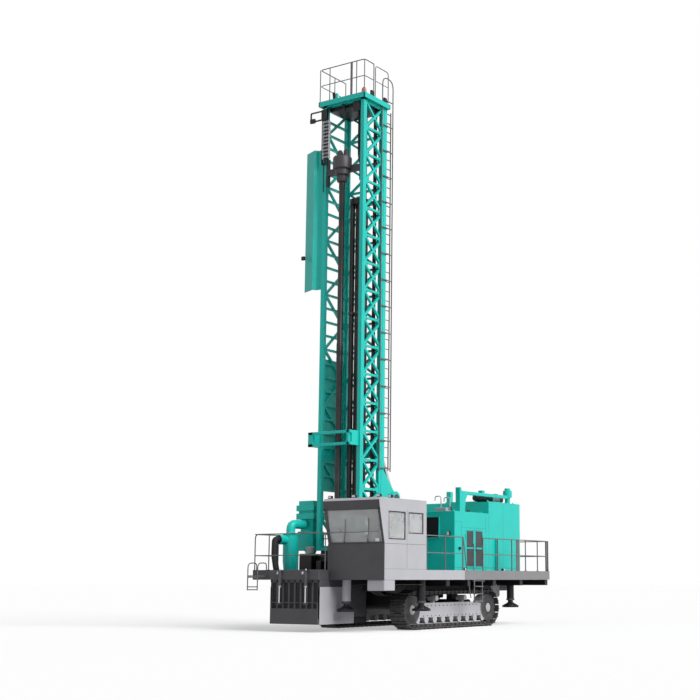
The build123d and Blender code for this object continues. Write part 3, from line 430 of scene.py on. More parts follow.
def repeated(name, template, places, material, body="chassis", size=1.0, spin=0.0, replaced=()):
    """Plain mesh of a template set out at places, each a point and the angles of its turn."""
    points = bpy.data.meshes.new(f"{name}_points")
    points.from_pydata([point for point, turn in places], [], [])
    turns = points.attributes.new("turn", "FLOAT_VECTOR", "POINT")
    turns.data.foreach_set("vector", [angle for point, turn in places for angle in turn])
    holder = bpy.data.objects.new(f"{name}_points", points)
    bpy.context.scene.collection.objects.link(holder)
    layout = holder.modifiers.new("copies", "NODES")
    layout.node_group = COPIES
    values = {
        "Template": template, "Finish": material, "Size": size, "Spin": spin, "Seed": COPY_SEED
    }
    for given, value in values.items():
        layout[COPY_INPUTS[given]] = value
    ready = holder.evaluated_get(bpy.context.evaluated_depsgraph_get())
    mesh = bpy.data.meshes.new_from_object(ready)
    mesh.name = name
    holder.modifiers.remove(layout)
    bpy.data.objects.remove(holder)
    piece = bpy.data.objects.new(name, mesh)
    bpy.context.scene.collection.objects.link(piece)
    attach(piece, body)
    if replaced:
        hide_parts(*replaced)
    return piece


def bolted(name, spots, material, body="chassis", size=0.02):
    """Hexagon bolts on washers, each at a point with the direction that it faces."""
    head = Shape()
    head.rod((0, 0, -0.1), (0, 0, 0.18), 1.25, sides=16)
    head.rod((0, 0, 0.17), (0, 0, 0.8), 1.0, sides=6, end_radius=0.94)
    template = head.become(f"{name}_template", material, body=None)
    places = [(point, Vector(facing).to_track_quat("Z", "Y").to_euler()) for point, facing in spots]
    repeated(name, template, places, material, body, size=size, spin=math.pi)
    bpy.data.objects.remove(template)


track_steel = finish(
    "track_steel", (0.04, 0.04, 0.043), 0.55, metallic=0.4, mottle=0.3, skin=0.002, dust=0.3
)
light_grey = finish(
    "light_grey_paint", (0.45, 0.45, 0.48), 0.42, coat=0.2, mottle=0.04
)
black_steel = finish("black_steel", (0.012, 0.012, 0.014), 0.42, metallic=0.2, mottle=0.2)
dress(light_grey, "track_frame_left", "track_frame_right")

SHOES = 50
LOOP_ENDS = (-2.46, 2.31)
LOOP_RADIUS = 0.56
AXLE_HEIGHT = 0.64
TRACK_MIDDLE = 1.55
LOOP_STRAIGHT = LOOP_ENDS[1] - LOOP_ENDS[0]
SHOE_LENGTH = (2 * LOOP_STRAIGHT + 2 * math.pi * LOOP_RADIUS) / SHOES


def on_loop(along):
    """Point and turn about Y at a distance round the loop, from its upper run's rear end."""
    rear, front = LOOP_ENDS
    arc = math.pi * LOOP_RADIUS
    if along < LOOP_STRAIGHT:
        return rear + along, AXLE_HEIGHT + LOOP_RADIUS, 0.0
    along -= LOOP_STRAIGHT
    if along < arc:
        turn = along / LOOP_RADIUS
        height = AXLE_HEIGHT + LOOP_RADIUS * math.cos(turn)
        return front + LOOP_RADIUS * math.sin(turn), height, turn
    along -= arc
    if along < LOOP_STRAIGHT:
        return front - along, AXLE_HEIGHT - LOOP_RADIUS, math.pi
    turn = math.pi + (along - LOOP_STRAIGHT) / LOOP_RADIUS
    return rear + LOOP_RADIUS * math.sin(turn), AXLE_HEIGHT + LOOP_RADIUS * math.cos(turn), turn


shoe = Shape()
half = SHOE_LENGTH / 2 - 0.009
shoe.block((-half, half), (-0.298, 0.298), (0, 0.034), chamfer=0.006)
shoe.prism([(-0.021, 0.03), (0.021, 0.03), (0.014, 0.078), (-0.014, 0.078)], "y", -0.292, 0.292)
for edge in (-1, 1):
    shoe.blocks(
        ((-SHOE_LENGTH / 2 - 0.03, 0.03), (edge * 0.085, edge * 0.12), (-0.082, 0.004)),
        ((-0.03, SHOE_LENGTH / 2 + 0.03), (edge * 0.124, edge * 0.16), (-0.082, 0.004)),
        chamfer=0.012,
    )
    for spot in (-0.075, 0.075):
        shoe.rod((spot, edge * 0.125, 0.034), (spot, edge * 0.125, 0.05), 0.019, sides=6)
shoe.rod((-SHOE_LENGTH / 2, -0.172, -0.045), (-SHOE_LENGTH / 2, 0.172, -0.045), 0.026, sides=10)
shoe_template = shoe.become("shoe_template", track_steel, body=None)
for side, name in ((1, "right"), (-1, "left")):
    places = []
    for number in range(SHOES):
        x, z, turn = on_loop((number + 0.5) * SHOE_LENGTH - 0.009)
        places.append(((x, side * TRACK_MIDDLE, z), (0.0, turn, 0.0)))
    repeated(f"track_chain_{name}", shoe_template, places, track_steel, replaced=[f"track_{name}"])
bpy.data.objects.remove(shoe_template)

# hub cap on each drive, and the bolts of hub and frame plate
hubs = Shape()
wheels = Shape()
hub_bolts = []
for side in (1, -1):
    face = side * (TRACK_MIDDLE + 0.18)
    for x in LOOP_ENDS:
        rim = [(0.16, -0.01), (0.445, -0.01), (0.445, 0.006), (0.4, 0.012), (0.16, 0.012)]
        wheels.turned((x, face, AXLE_HEIGHT), (0, side, 0), rim, sides=40)
    hubs.turned(
        (LOOP_ENDS[0], face, AXLE_HEIGHT),
        (0, side, 0),
        [(0, -0.01), (0.15, -0.01), (0.15, 0.018), (0.12, 0.03), (0.06, 0.036), (0, 0.036)],
    )
    for number in range(12):
        turn = math.pi * number / 6
        x, z = LOOP_ENDS[0] + 0.205 * math.cos(turn), AXLE_HEIGHT + 0.205 * math.sin(turn)
        hub_bolts.append(((x, face + side * 0.012, z), (0, side, 0)))
    for number in range(15):
        for height in (0.76, 0.43):
            hub_bolts.append(
                ((-1.75 + 0.24 * number, side * (TRACK_MIDDLE + 0.15), height), (0, side, 0))
            )
wheels.become("track_wheel_faces", track_steel)
hubs.become("drive_hubs", light_grey)
bolted("track_frame_bolts", hub_bolts, black_steel, size=0.017)

# Main frame and decks
# Folded steel decks welded on two box beams, painted in three greys, with a dark tank, a
# thin black plate across the gap between the tracks as painted shade, and hoses below them
# and small lamps on their edges.
mid_grey = finish(
    "mid_grey_paint", (0.225, 0.225, 0.235), 0.45, coat=0.15, mottle=0.05
)
dark_grey = finish(
    "dark_grey_paint", (0.07, 0.069, 0.076), 0.5, coat=0.1, mottle=0.08
)
rubber = finish("hose_rubber", (0.014, 0.014, 0.015), 0.7, mottle=0.2, edge=0.0)
lamp_glass = finish(
    "lamp_glass", (0.75, 0.76, 0.78), 0.12, coat=1.0, mottle=0.03, edge=0.0
)
dress(mid_grey, "deck_rear")
dress(black_steel, "main_frame")
dress(light_grey, "deck_right")
DECK_TOP = 1.91
DECK_BOTTOM = 1.6
EDGE_Y = 2.52

FRONT_EDGE = 5.23
MAST_Y = -0.55
HOLE_X = 3.38
floor_plate = Shape()
for y in ((-2.52, -1.43), (-1.43, -0.79), (-0.31, 0.33)):
    floor_plate.block((0.35, FRONT_EDGE), y, (1.88, DECK_TOP))
for x in ((0.35, HOLE_X - 0.24), (HOLE_X + 0.24, FRONT_EDGE)):
    floor_plate.block(x, (-0.79, -0.31), (1.88, DECK_TOP))
collar = [(0.24, -0.05), (0.345, -0.05), (0.345, 0.012), (0.33, 0.02), (0.24, 0.02)]
floor_plate.turned((HOLE_X, MAST_Y, DECK_TOP), (0, 0, 1), collar, sides=32)
floor_plate.blocks(
    ((0.35, FRONT_EDGE), (-EDGE_Y, -EDGE_Y + 0.02), (DECK_BOTTOM, 1.9)),
    ((FRONT_EDGE - 0.02, FRONT_EDGE), (-EDGE_Y, 0.33), (DECK_BOTTOM, 1.9)),
    chamfer=0.004,
)
for y in (-2.0, -1.43, 0.31):
    floor_plate.block((0.36, FRONT_EDGE - 0.02), (y - 0.01, y + 0.01), (DECK_BOTTOM, 1.89))
floor_plate.block((5.04, FRONT_EDGE), (0.32, 0.43), (DECK_BOTTOM, DECK_TOP), chamfer=0.006)
floor_plate.block(
    (FRONT_EDGE, 5.56), (MAST_Y - 0.98, MAST_Y + 0.98), (DECK_BOTTOM, DECK_TOP), chamfer=0.012
)
floor_plate.become("drill_deck", dark_grey, replaced=["drill_floor", "deck_left"])

table = Shape()
table.blocks(
    ((3.9, 4.46), (-1.25, -0.75), (DECK_TOP, 2.43)),
    ((3.9, 4.14), (-0.75, 0.27), (DECK_TOP, 2.35)), ((4.14, 4.4), (-0.6, -0.4), (DECK_TOP, 2.2)),
    chamfer=0.02,
)
table.become("drill_table", black_steel)
table_top = Shape()
table_top.rod((4.2, -1.0, 2.42), (4.2, -1.0, 2.62), 0.12, sides=20)
table_top.rod((4.2, -1.0, 2.6), (4.2, -1.0, 2.66), 0.15, sides=20)
table_top.block((4.42, 4.99), (1.87, EDGE_Y), (1.27, DECK_BOTTOM), chamfer=0.02)
table_top.turned(
    (4.6, 0.8, 0.94), (0, 0, 1), [(0.1305, 0), (0.138, 0), (0.138, 0.65), (0.1305, 0.65)]
)
table_top.block((-3.75, -3.2), (0.9, 1.5), (0.98, 1.5), chamfer=0.05)
table_top.become("deck_light_boxes", light_grey)

belly = Shape()
belly.blocks(
    ((-1.4, 1.05), (-0.56, 0.56), (0.98, 1.39)), ((1.55, 2.35), (-0.56, 0.56), (1.02, 1.39)),
    chamfer=0.03,
)
# The first block is a thin black plate across the gap between the tracks, put there as painted
# shade.
belly.blocks(
    ((2.69, 2.71), (-1.2, 1.2), (0.78, 1.58)), ((2.69, 4.3), (0.46, 2.4), (1.44, 1.46)),
    chamfer=0.004,
)
for x in (-1.1, -0.5, 0.1, 0.7):
    belly.block((x - 0.03, x + 0.03), (-0.59, 0.59), (0.95, 1.39), chamfer=0.008)
for x in (3.0, 3.35, 3.7):
    belly.block((x, x + 0.22), (0.9, 1.3), (1.24, 1.45), chamfer=0.012)
    belly.rod((x + 0.11, 1.3, 1.34), (x + 0.11, 1.42, 1.34), 0.035)
belly.become("belly_tanks", black_steel)

hoses = Shape()
for number in range(6):
    y = 0.95 + 0.07 * number
    sag = 1.16 - 0.02 * (number % 3)
    hoses.tube(
        [(2.75, y, 1.4), (2.95, y + 0.05, sag), (3.4, y + 0.1, sag - 0.03), (3.85, y, 1.38)],
        0.022,
        bend=0.2,
    )
for number in range(5):
    x = 3.3 + 0.09 * number
    hoses.tube(
        [(x, 1.45, 1.42), (x, 1.7, 1.2), (x + 0.1, 2.0, 1.22), (x + 0.1, 2.2, 1.42)], 0.02, bend=0.2
    )
for side in (1, -1):
    for number in range(3):
        y = side * (0.88 + 0.06 * number)
        hoses.tube(
            [(-3.6, y, 1.52), (-1.6, y, 1.46), (0.6, y, 1.46), (2.6, y, 1.52)], 0.02, bend=0.3
        )
hoses.become("belly_hoses", rubber)

deck_lamps = Shape()
deck_lenses = Shape()
for x, y, side in (
    (-2.28, EDGE_Y, 1), (-5.59, EDGE_Y, 1), (-2.28, -EDGE_Y, -1), (-5.59, -EDGE_Y, -1),
    (0.3, EDGE_Y, 1),
):
    deck_lamps.block(
        (x - 0.06, x + 0.04), (y - side * 0.1, y - side * 0.005), (DECK_TOP, DECK_TOP + 0.075),
        chamfer=0.01,
    )
    deck_lenses.block(
        (x - 0.045, x + 0.025), (y - side * 0.006, y - side * 0.001),
        (DECK_TOP + 0.012, DECK_TOP + 0.063),
    )
for y in (-1.19, -0.19):
    deck_lenses.turned(
        (5.56, y, 1.81), (1, 0, 0), [(0, 0), (0.045, 0), (0.045, 0.02), (0.03, 0.035), (0, 0.035)]
    )
deck_lamps.become("deck_lamp_bodies", black_steel)
deck_lenses.become("deck_lamp_lenses", lamp_glass)

deck_bolts = [
    ((x / 100, side * (EDGE_Y - 0.012), 1.66), (0, side, 0))
    for side in (1, -1)
    for x in range(-540, 20, 70)
]
bolted("deck_edge_bolts", deck_bolts, mid_grey, size=0.014)

# Dust skirt
# Steel box under the drill floor that keeps the dust in: light grey stepped sides on a dark
# ribbed frame, rubber along the bottom, and a dark curtain with a thin spreader bar that two
# cylinders slide up on bright rods.
SKIRT = (MAST_Y - 0.98, MAST_Y + 0.98)
SKIRT_REAR, SKIRT_FRONT = 3.01, 5.5
SKIRT_BOTTOM = 0.24
ROD_X = 5.615
ROD_LINES = (MAST_Y - 0.52, MAST_Y + 0.52)
skirt_frame = Shape()
for y in SKIRT:
    inward = 1 if y < MAST_Y else -1
    skirt_frame.block(
        (SKIRT_REAR, SKIRT_FRONT), (y + inward * 0.016, y + inward * 0.04), (0.42, DECK_BOTTOM)
    )
skirt_frame.block((SKIRT_REAR, 3.04), (SKIRT[0] + 0.016, SKIRT[1] - 0.016), (0.42, DECK_BOTTOM))
for number in range(9):
    y = MAST_Y - 0.939 + number * 0.23475
    skirt_frame.block((5.47, SKIRT_FRONT), (y - 0.03, y + 0.03), (0.69, DECK_BOTTOM), chamfer=0.004)
skirt_frame.block((5.47, SKIRT_FRONT), SKIRT, (1.52, DECK_BOTTOM))
skirt_frame.become("skirt_frame", dark_grey)
skirt_wall = Shape()
skirt_wall.block((5.455, 5.472), (SKIRT[0] + 0.02, SKIRT[1] - 0.02), (0.69, DECK_BOTTOM))
for y in SKIRT:
    inward = 1 if y < MAST_Y else -1
    skirt_wall.block(
        (SKIRT_REAR, 3.71), (y + inward * 0.016, y + inward * 0.028), (SKIRT_BOTTOM, 0.44)
    )
skirt_wall.block((SKIRT_REAR, 3.022), (SKIRT[0] + 0.016, SKIRT[1] - 0.016), (SKIRT_BOTTOM, 0.44))
skirt_wall.become("skirt_front_and_rubber", rubber)
skirt_sides = Shape()
for y in SKIRT:
    face = (y, y + (0.016 if y < MAST_Y else -0.016))
    outline = [
        (3.71, SKIRT_BOTTOM), (SKIRT_FRONT, SKIRT_BOTTOM), (SKIRT_FRONT, 1.38), (4.24, 1.38),
        (4.24, 0.66), (3.71, 0.66),
    ]
    skirt_sides.prism(outline, "y", *face)
    skirt_sides.block(
        (5.484, SKIRT_FRONT), (face[0], face[0] + (0.05 if y < MAST_Y else -0.05)),
        (SKIRT_BOTTOM, 1.38),
    )
skirt_sides.become("skirt_sides", light_grey, replaced=["dust_skirt"])

curtain = Shape()
curtain.block((5.505, 5.54), (MAST_Y - 0.95, MAST_Y + 0.95), (SKIRT_BOTTOM, 0.72), chamfer=0.006)
for y in (MAST_Y - 0.93, MAST_Y + 0.93):
    curtain.block((5.505, 5.54), (y - 0.02, y + 0.02), (0.7, 0.92), chamfer=0.004)
curtain.block((5.51, 5.535), (MAST_Y - 0.95, MAST_Y + 0.95), (0.888, 0.912), chamfer=0.004)
for y in ROD_LINES:
    curtain.block((5.535, 5.655), (y - 0.055, y + 0.055), (0.845, 0.9), chamfer=0.006)
curtain.become("curtain_plate", dark_grey, "curtain", replaced=["dust_curtain"])
bright_rod = finish(
    "bright_rod", (0.62, 0.62, 0.64), 0.12, metallic=1.0, mottle=0.03, skin=0.0001, edge=0.0,
)
curtain_rods = Shape()
for y in ROD_LINES:
    curtain_rods.rod((ROD_X, y, 0.89), (ROD_X, y, 1.42), 0.022)
curtain_rods.become("curtain_rods", bright_rod, "curtain")
cylinders = Shape()
caps = Shape()
for y in ROD_LINES:
    cylinders.turned(
        (ROD_X, y, 1.39),
        (0, 0, 1),
        [(0.024, 0), (0.045, 0), (0.045, 0.51), (0, 0.51), (0, 0.495), (0.024, 0.495)],
    )
    cylinders.block((5.555, 5.576), (y - 0.05, y + 0.05), (1.64, 1.8), chamfer=0.006)
    caps.rod((ROD_X, y, 1.895), (ROD_X, y, 1.935), 0.038, end_radius=0.026)
    caps.turned(
        (ROD_X, y, 1.375), (0, 0, 1), [(0.024, 0), (0.0452, 0), (0.0452, 0.04), (0.024, 0.04)]
    )
cylinders.become("curtain_cylinders", dark_grey)
caps.become("curtain_cylinder_caps", light_grey)

# Levelling jacks
# Six legs that lift the rig level: black steel tubes fixed to the chassis, each with a bolted
# gland at the bottom, and a leg on a round pad with a ribbed conical socket.
dress(black_steel, "jack_tubes")
JACKS = {
    "front_right": (4.6, 0.8), "front_left": (4.6, -1.9), "middle_right": (2.47, 2.19),
    "middle_left": (2.47, -2.19), "rear_right": (-3.96, 1.8), "rear_left": (-3.96, -1.8),
}
glands = Shape()
gland_bolts = []
for name, (x, y) in JACKS.items():
    dress(black_steel, f"jack_{name}")
    glands.turned(
        (x, y, 0.875),
        (0, 0, 1),
        [(0.097, 0), (0.15, 0), (0.15, 0.05), (0.131, 0.06), (0.097, 0.06)],
    )
    for number in range(8):
        turn = math.pi * number / 4
        gland_bolts.append(
            ((x + 0.136 * math.cos(turn), y + 0.136 * math.sin(turn), 0.875), (0, 0, -1))
        )
    socket = Shape()
    socket.turned(
        (x, y, 0.69), (0, 0, 1), [(0.0955, 0), (0.21, 0), (0.2, 0.02), (0.115, 0.1), (0.0955, 0.1)]
    )
    for number in range(8):
        turn = math.pi * (number + 0.5) / 4
        out = Vector((math.cos(turn), math.sin(turn), 0))
        across = Vector((-out.y, out.x, 0)) * 0.006
        foot = [Vector((x, y, 0.69)) + out * reach for reach in (0.1, 0.285)]
        outline = [foot[0], foot[1], foot[0] + Vector((0, 0, 0.1))]
        ends = [
            [socket.mesh.verts.new(corner + shift) for corner in outline]
            for shift in (-across, across)
        ]
        for end in ends:
            socket.mesh.faces.new(end)
        for n in range(3):
            socket.mesh.faces.new((ends[0][n - 1], ends[0][n], ends[1][n], ends[1][n - 1]))
    socket.become(f"jack_pad_socket_{name}", black_steel, f"jack_{name}_leg")
glands.become("jack_glands", dark_grey)
bolted("jack_gland_bolts", gland_bolts, black_steel, size=0.012)

# House
# Painted sheet steel over the engine and the coolers: louvred doors, fine seams, a gutter,
# lamps and hooked vent pipes, and on the roof the exhaust with its grey guard.
TEAL = (0.01, 0.56, 0.49)
teal = finish("teal_paint", TEAL, 0.38, coat=0.1, mottle=0.04)
dress(teal, "house_low", "house_tall", "mast_rest")
dress(black_steel, "cooler_grille")
dress(dark_grey, "engine_block", "air_receiver")
HOUSE_SIDE = 1.57
LOW_ROOF, TALL_ROOF = 3.93, 4.37
EXHAUST = (0.8, 4.57)
for side, side_name in ((1, "right"), (-1, "left")):
    for leaf, (rear, front) in (("front", (-1.745, -1.325)), ("rear", (-2.365, -1.925))):
        dress(teal, f"house_door_{side_name}_{leaf}")
        body = f"door_{side_name}_{leaf}"
        frames = Shape()
        slats = []
        for low, high in ((2.07, 2.67), (2.73, 3.29)):
            outer = side * (HOUSE_SIDE + 0.014)
            inner = side * (HOUSE_SIDE - 0.002)
            frames.border("y", (inner, outer), (rear, front), (low, high), 0.02, chamfer=0.003)
            frames.block(
                (rear + 0.01, front - 0.01), (inner, side * (HOUSE_SIDE + 0.001)),
                (low + 0.01, high - 0.01),
            )
            count = round((high - low - 0.05) / 0.036)
            for number in range(count):
                height = low + 0.035 + number * (high - low - 0.06) / (count - 1)
                point = ((rear + front) / 2, side * (HOUSE_SIDE + 0.007), height)
                slats.append((point, (0, 0, 0 if side == 1 else math.pi)))
        frames.become(f"louvre_frames_{side_name}_{leaf}", dark_grey, body)
        slat = Shape()
        length = (front - rear) / 2 - 0.018
        slat.prism(
            [(-0.006, 0.01), (-0.004, 0.012), (0.008, -0.006), (0.006, -0.009)],
            "x",
            -length,
            length,
        )
        slat_template = slat.become("slat_template", dark_grey, body=None)
        repeated(f"louvre_slats_{side_name}_{leaf}", slat_template, slats, dark_grey, body)
        bpy.data.objects.remove(slat_template)
        handle = Shape()
        x = rear + 0.02 if leaf == "front" else front - 0.02
        grip = side * (HOUSE_SIDE + 0.035)
        x += -0.035 if leaf == "front" else 0.035
        handle.tube(
            [
                (x, side * HOUSE_SIDE, 2.6), (x, grip, 2.6), (x, grip, 2.78),
                (x, side * HOUSE_SIDE, 2.78),
            ],
            0.008,
            bend=0.02,
        )
        handle.become(f"door_handle_{side_name}_{leaf}", black_steel, body)

seams = Shape()
for side in (1, -1):
    face = (side * (HOUSE_SIDE - 0.004), side * (HOUSE_SIDE + 0.0015))
    for x, z in (
        (-0.98, (1.95, 3.6)), (-0.98, (3.3, 3.6)), (-2.62, (1.95, 3.9)), (-3.86, (1.95, 4.34)),
        (-2.838, (1.95, 3.92)),
    ):
        seams.block((x - 0.004, x + 0.004), face, z)
    for z, x in ((3.6, (-0.98, -0.53)), (3.4, (-2.62, -0.98)), (2.02, (-5.1, -0.53))):
        seams.block(x, face, (z - 0.004, z + 0.004))
for y in (-1.0, 0.0, 1.0):
    seams.block((-0.524, -0.518), (y - 0.004, y + 0.004), (1.95, 3.0))
seams.become("house_seams", dark_grey)

trim = Shape()
for side in (1, -1):
    trim.blocks(
        ((-2.82, -0.53), (side * 1.52, side * 1.572), (3.925, 3.955)),
        ((-5.11, -2.84), (side * 1.52, side * 1.572), (4.365, 4.395)), chamfer=0.006,
    )
    trim.block((-3.56, -3.27), (side * 1.56, side * 1.66), (DECK_TOP, 3.06), chamfer=0.02)
    for x in (-0.75, -2.6, -3.05, -4.9):
        top = 3.94 if x > -2.83 else 4.38
        trim.prism(
            [(x - 0.05, top), (x + 0.05, top), (x + 0.03, top + 0.07), (x - 0.03, top + 0.07)],
            "y",
            side * 1.4 - 0.012,
            side * 1.4 + 0.012,
        )
trim.block((-0.54, -0.515), (-1.55, 1.55), (3.915, 3.955), chamfer=0.006)
trim.become("house_trim", teal)

roof_gear = Shape()
roof_gear.block((-0.86, -0.56), (0.72, 1.18), (3.94, 4.08), chamfer=0.015)
roof_gear.block((-4.72, -4.22), (0.64, 0.96), (4.44, 4.66), chamfer=0.02)
roof_gear.tube(
    [(-2.4, -0.2, LOW_ROOF), (-2.4, -0.2, 4.62), (-2.4, -0.46, 4.62), (-2.4, -0.46, 4.46)],
    0.02,
    bend=0.09,
)
roof_gear.tube(
    [(-2.62, 0.05, LOW_ROOF), (-2.62, 0.05, 4.58), (-2.62, -0.21, 4.58), (-2.62, -0.21, 4.42)],
    0.02,
    bend=0.09,
)
roof_gear.become("roof_boxes_and_vents", light_grey)

house_black = Shape()
house_black.blocks(
    ((-0.6, -0.5), (1.3, 1.42), (3.98, 4.1)), ((-0.518, -0.44), (1.29, 1.41), (3.1, 3.26)),
    ((-1.62, -1.5), (1.44, 1.53), (3.94, 4.02)), chamfer=0.012,
)
house_black.block((-0.86, -0.78), (1.572, 1.64), (2.63, 2.72), chamfer=0.01)
house_black.block((-4.7, -4.52), (0.72, 0.88), (4.6, 4.78), chamfer=0.012)
house_black.rod((-4.85, *EXHAUST), (-5.02, *EXHAUST), 0.1)
house_black.turned(
    (-5.02, *EXHAUST), (-1, 0, 0), [(0.085, 0), (0.105, 0), (0.105, 0.03), (0.085, 0.03)]
)
for x in (-3.3, -3.62, -3.94, -4.26):
    house_black.turned(
        (x, *EXHAUST), (1, 0, 0), [(0.129, -0.012), (0.139, -0.012), (0.139, 0.012), (0.129, 0.012)]
    )
house_black.become("house_lamps_and_exhaust", black_steel)

house_lenses = Shape()
house_lenses.blocks(
    ((-0.502, -0.495), (1.315, 1.405), (3.995, 4.085)),
    ((-0.442, -0.436), (1.305, 1.395), (3.115, 3.245)),
)
house_lenses.become("house_lamp_lenses", lamp_glass)

cooler_bolts = [
    ((-5.125, y / 100, z), (-1, 0, 0)) for y in range(-150, 151, 30) for z in (2.06, 4.28)
]
bolted("cooler_bolts", cooler_bolts, teal, size=0.014)

gantry = Shape()
gantry.prism(
    [
        (-1.35, LOW_ROOF), (-1.35, 4.83), (-1.45, 4.83), (-1.48, 4.71), (-4.89, 4.71),
        (-4.89, 4.6), (-1.87, 4.6), (-1.75, 4.41), (-1.68, LOW_ROOF),
    ],
    "y",
    1.09,
    1.27,
)
post = [
    (0, 0), (0.1, 0), (0.1, 0.28), (0.17, 0.28), (0.17, 0.53), (0.11, 0.54), (0.11, 0.62), (0, 0.62)
]
gantry.turned((-4.89, 1.18, TALL_ROOF), (0, 0, 1), post)
gantry.become("roof_gantry", teal)
drum = Shape()
ends = [(0, 0), (0.11, 0), (0.13, 0.03), (0.13, 1.48), (0.11, 1.51), (0, 1.51)]
drum.turned((-3.15, *EXHAUST), (-1, 0, 0), ends, sides=28)
for x in (-3.45, -4.35):
    drum.block((x - 0.03, x + 0.03), (0.74, 0.86), (TALL_ROOF, 4.46), chamfer=0.006)
drum.become("exhaust_drum", black_steel, replaced=["muffler"])
# A flat black plate on the house front, inside the teal frame below, stands in for the shade of an
# intake opening: painted shade.
opening_shade = Shape()
opening_shade.block((-0.524, -0.514), (-1.2, 0.92), (3.05, 3.75))
opening_shade.become("house_front_opening", black_steel)
recess_edge = Shape()
recess_edge.border("x", (-0.524, -0.49), (-1.24, 0.96), (3.01, 3.79), 0.04, chamfer=0.005)
recess_edge.become("house_front_frame", teal)

# Dust collector
# Welded sheet steel, painted as the house: a cyclone with a rimmed top and a wide dark hose
# at its inlet, an elbow, and a filter box in six bands on four legs.
cyclone = Shape()
CYCLONE = (3.89, -2.08, DECK_TOP)
cyclone.turned(
    CYCLONE,
    (0, 0, 1),
    [
        (0, 0), (0.215, 0), (0.25, 0.3), (0.25, 1.15), (0.27, 1.16), (0.27, 1.2), (0.12, 1.22),
        (0, 1.22),
    ],
    sides=32,
)
cyclone.rod((3.92, -2.14, 2.9), (4.44, -2.14, 2.9), 0.16, sides=24)
cyclone.tube(
    [(3.89, -2.08, 3.05), (3.89, -2.08, 3.42), (3.28, -2.02, 3.42)], 0.15, sides=20, bend=0.3
)
BOX_X, BOX_Y = (2.6, 3.3), (-2.35, -1.6)
for low, high, inset in (
    (0.65, 1.29, 0.04), (1.29, 1.69, 0.11), (1.69, 1.89, 0.0), (1.89, 1.97, 0.06),
    (1.97, 2.16, 0.0), (2.16, 2.31, 0.06),
):
    across = (BOX_X[0] + inset, BOX_X[1] - inset)
    deep = (BOX_Y[0] + inset, BOX_Y[1] - inset)
    cyclone.block(across, deep, (DECK_TOP + low - 0.002, DECK_TOP + high), chamfer=0.012)
cyclone.turned(
    (2.95, -1.98, DECK_TOP + 0.3), (0, 0, 1), [(0, 0), (0.1, 0), (0.27, 0.36), (0, 0.36)], sides=4
)
for x in BOX_X:
    for y in BOX_Y:
        x_in = x + (0.04 if x < 2.9 else -0.04)
        y_in = y + (0.04 if y < -2 else -0.04)
        cyclone.block(
            (x_in - 0.04, x_in + 0.04), (y_in - 0.04, y_in + 0.04), (DECK_TOP, DECK_TOP + 0.7)
        )
cyclone.become("dust_collector_body", teal, replaced=["dust_collector"])
mouth = Shape()
mouth.rod((4.43, -2.14, 2.9), (4.452, -2.14, 2.9), 0.14, sides=24)
mouth.tube(
    [(4.44, -2.14, 2.9), (4.62, -2.14, 2.9), (4.74, -2.05, 2.35), (4.8, -1.9, 1.92)],
    0.1,
    sides=14,
    bend=0.18,
)
mouth.become("dust_hose", rubber)

# Cab
# Welded steel in light grey under a deeper roof with a dark brow, dark bands round a wide
# windscreen, seams and gaskets, roof lamps, and inside it a console, two levers and the
# operator's padded seat.
glass = bpy.data.materials.new("cab_glass")
glass.use_nodes = True
tree = glass.node_tree
pane = tree.nodes["Principled BSDF"]
tint_noise = tree.nodes.new("ShaderNodeTexNoise")
tint_noise.inputs["Scale"].default_value = 1.5
tint_place = tree.nodes.new("ShaderNodeTexCoord")
tint = tree.nodes.new("ShaderNodeMapRange")
tint.inputs["To Min"].default_value = 0.66
tint.inputs["To Max"].default_value = 0.8
tree.links.new(tint_place.outputs["Object"], tint_noise.inputs["Vector"])
tree.links.new(tint_noise.outputs["Fac"], tint.inputs["Value"])
tree.links.new(tint.outputs["Result"], pane.inputs["Transmission Weight"])
pane.inputs["Base Color"].default_value = (0.93, 0.95, 0.95, 1)
pane.inputs["Roughness"].default_value = 0.03
pane.inputs["IOR"].default_value = 1.18
dress(light_grey, "cab_shell", "cab_door")
dress(dark_grey, "cab_front_panel")
dress(glass, "cab_glass", "cab_door_glass")
rail_dark = finish("dark_trim", (0.03, 0.03, 0.033), 0.5, mottle=0.1, edge=0.0)
CAB = {
    "rear": 2.68, "front": 4.99, "inner": 0.36, "outer": 2.52, "sill": 2.7, "eaves": 3.79,
    "roof": 4.1,
}
CAB_FLOOR = 1.97
CAB_LEAN = 0.27 / (CAB["eaves"] - CAB["sill"])


def leaning(z, out=0.0):
    """X of the cab's leaning front at a height, some way outside it."""
    return CAB["front"] + CAB_LEAN * max(0.0, z - CAB["sill"]) + out


brow = leaning(CAB["eaves"])
roof = Shape()
roof.prism(
    [
        (CAB["rear"], CAB["eaves"]), (brow, CAB["eaves"]), (brow + 0.04, 4.02),
        (brow - 0.03, CAB["roof"]), (CAB["rear"], CAB["roof"]),
    ],
    "y",
    CAB["inner"],
    CAB["outer"],
)
roof.block((3.75, 4.35), (1.25, 1.85), (4.095, 4.15), chamfer=0.015)
for y in (0.62, 2.26):
    roof.block((2.8, 5.05), (y - 0.03, y + 0.03), (4.095, 4.118), chamfer=0.008)
roof.become("cab_roof_cover", light_grey, replaced=["cab_roof"])

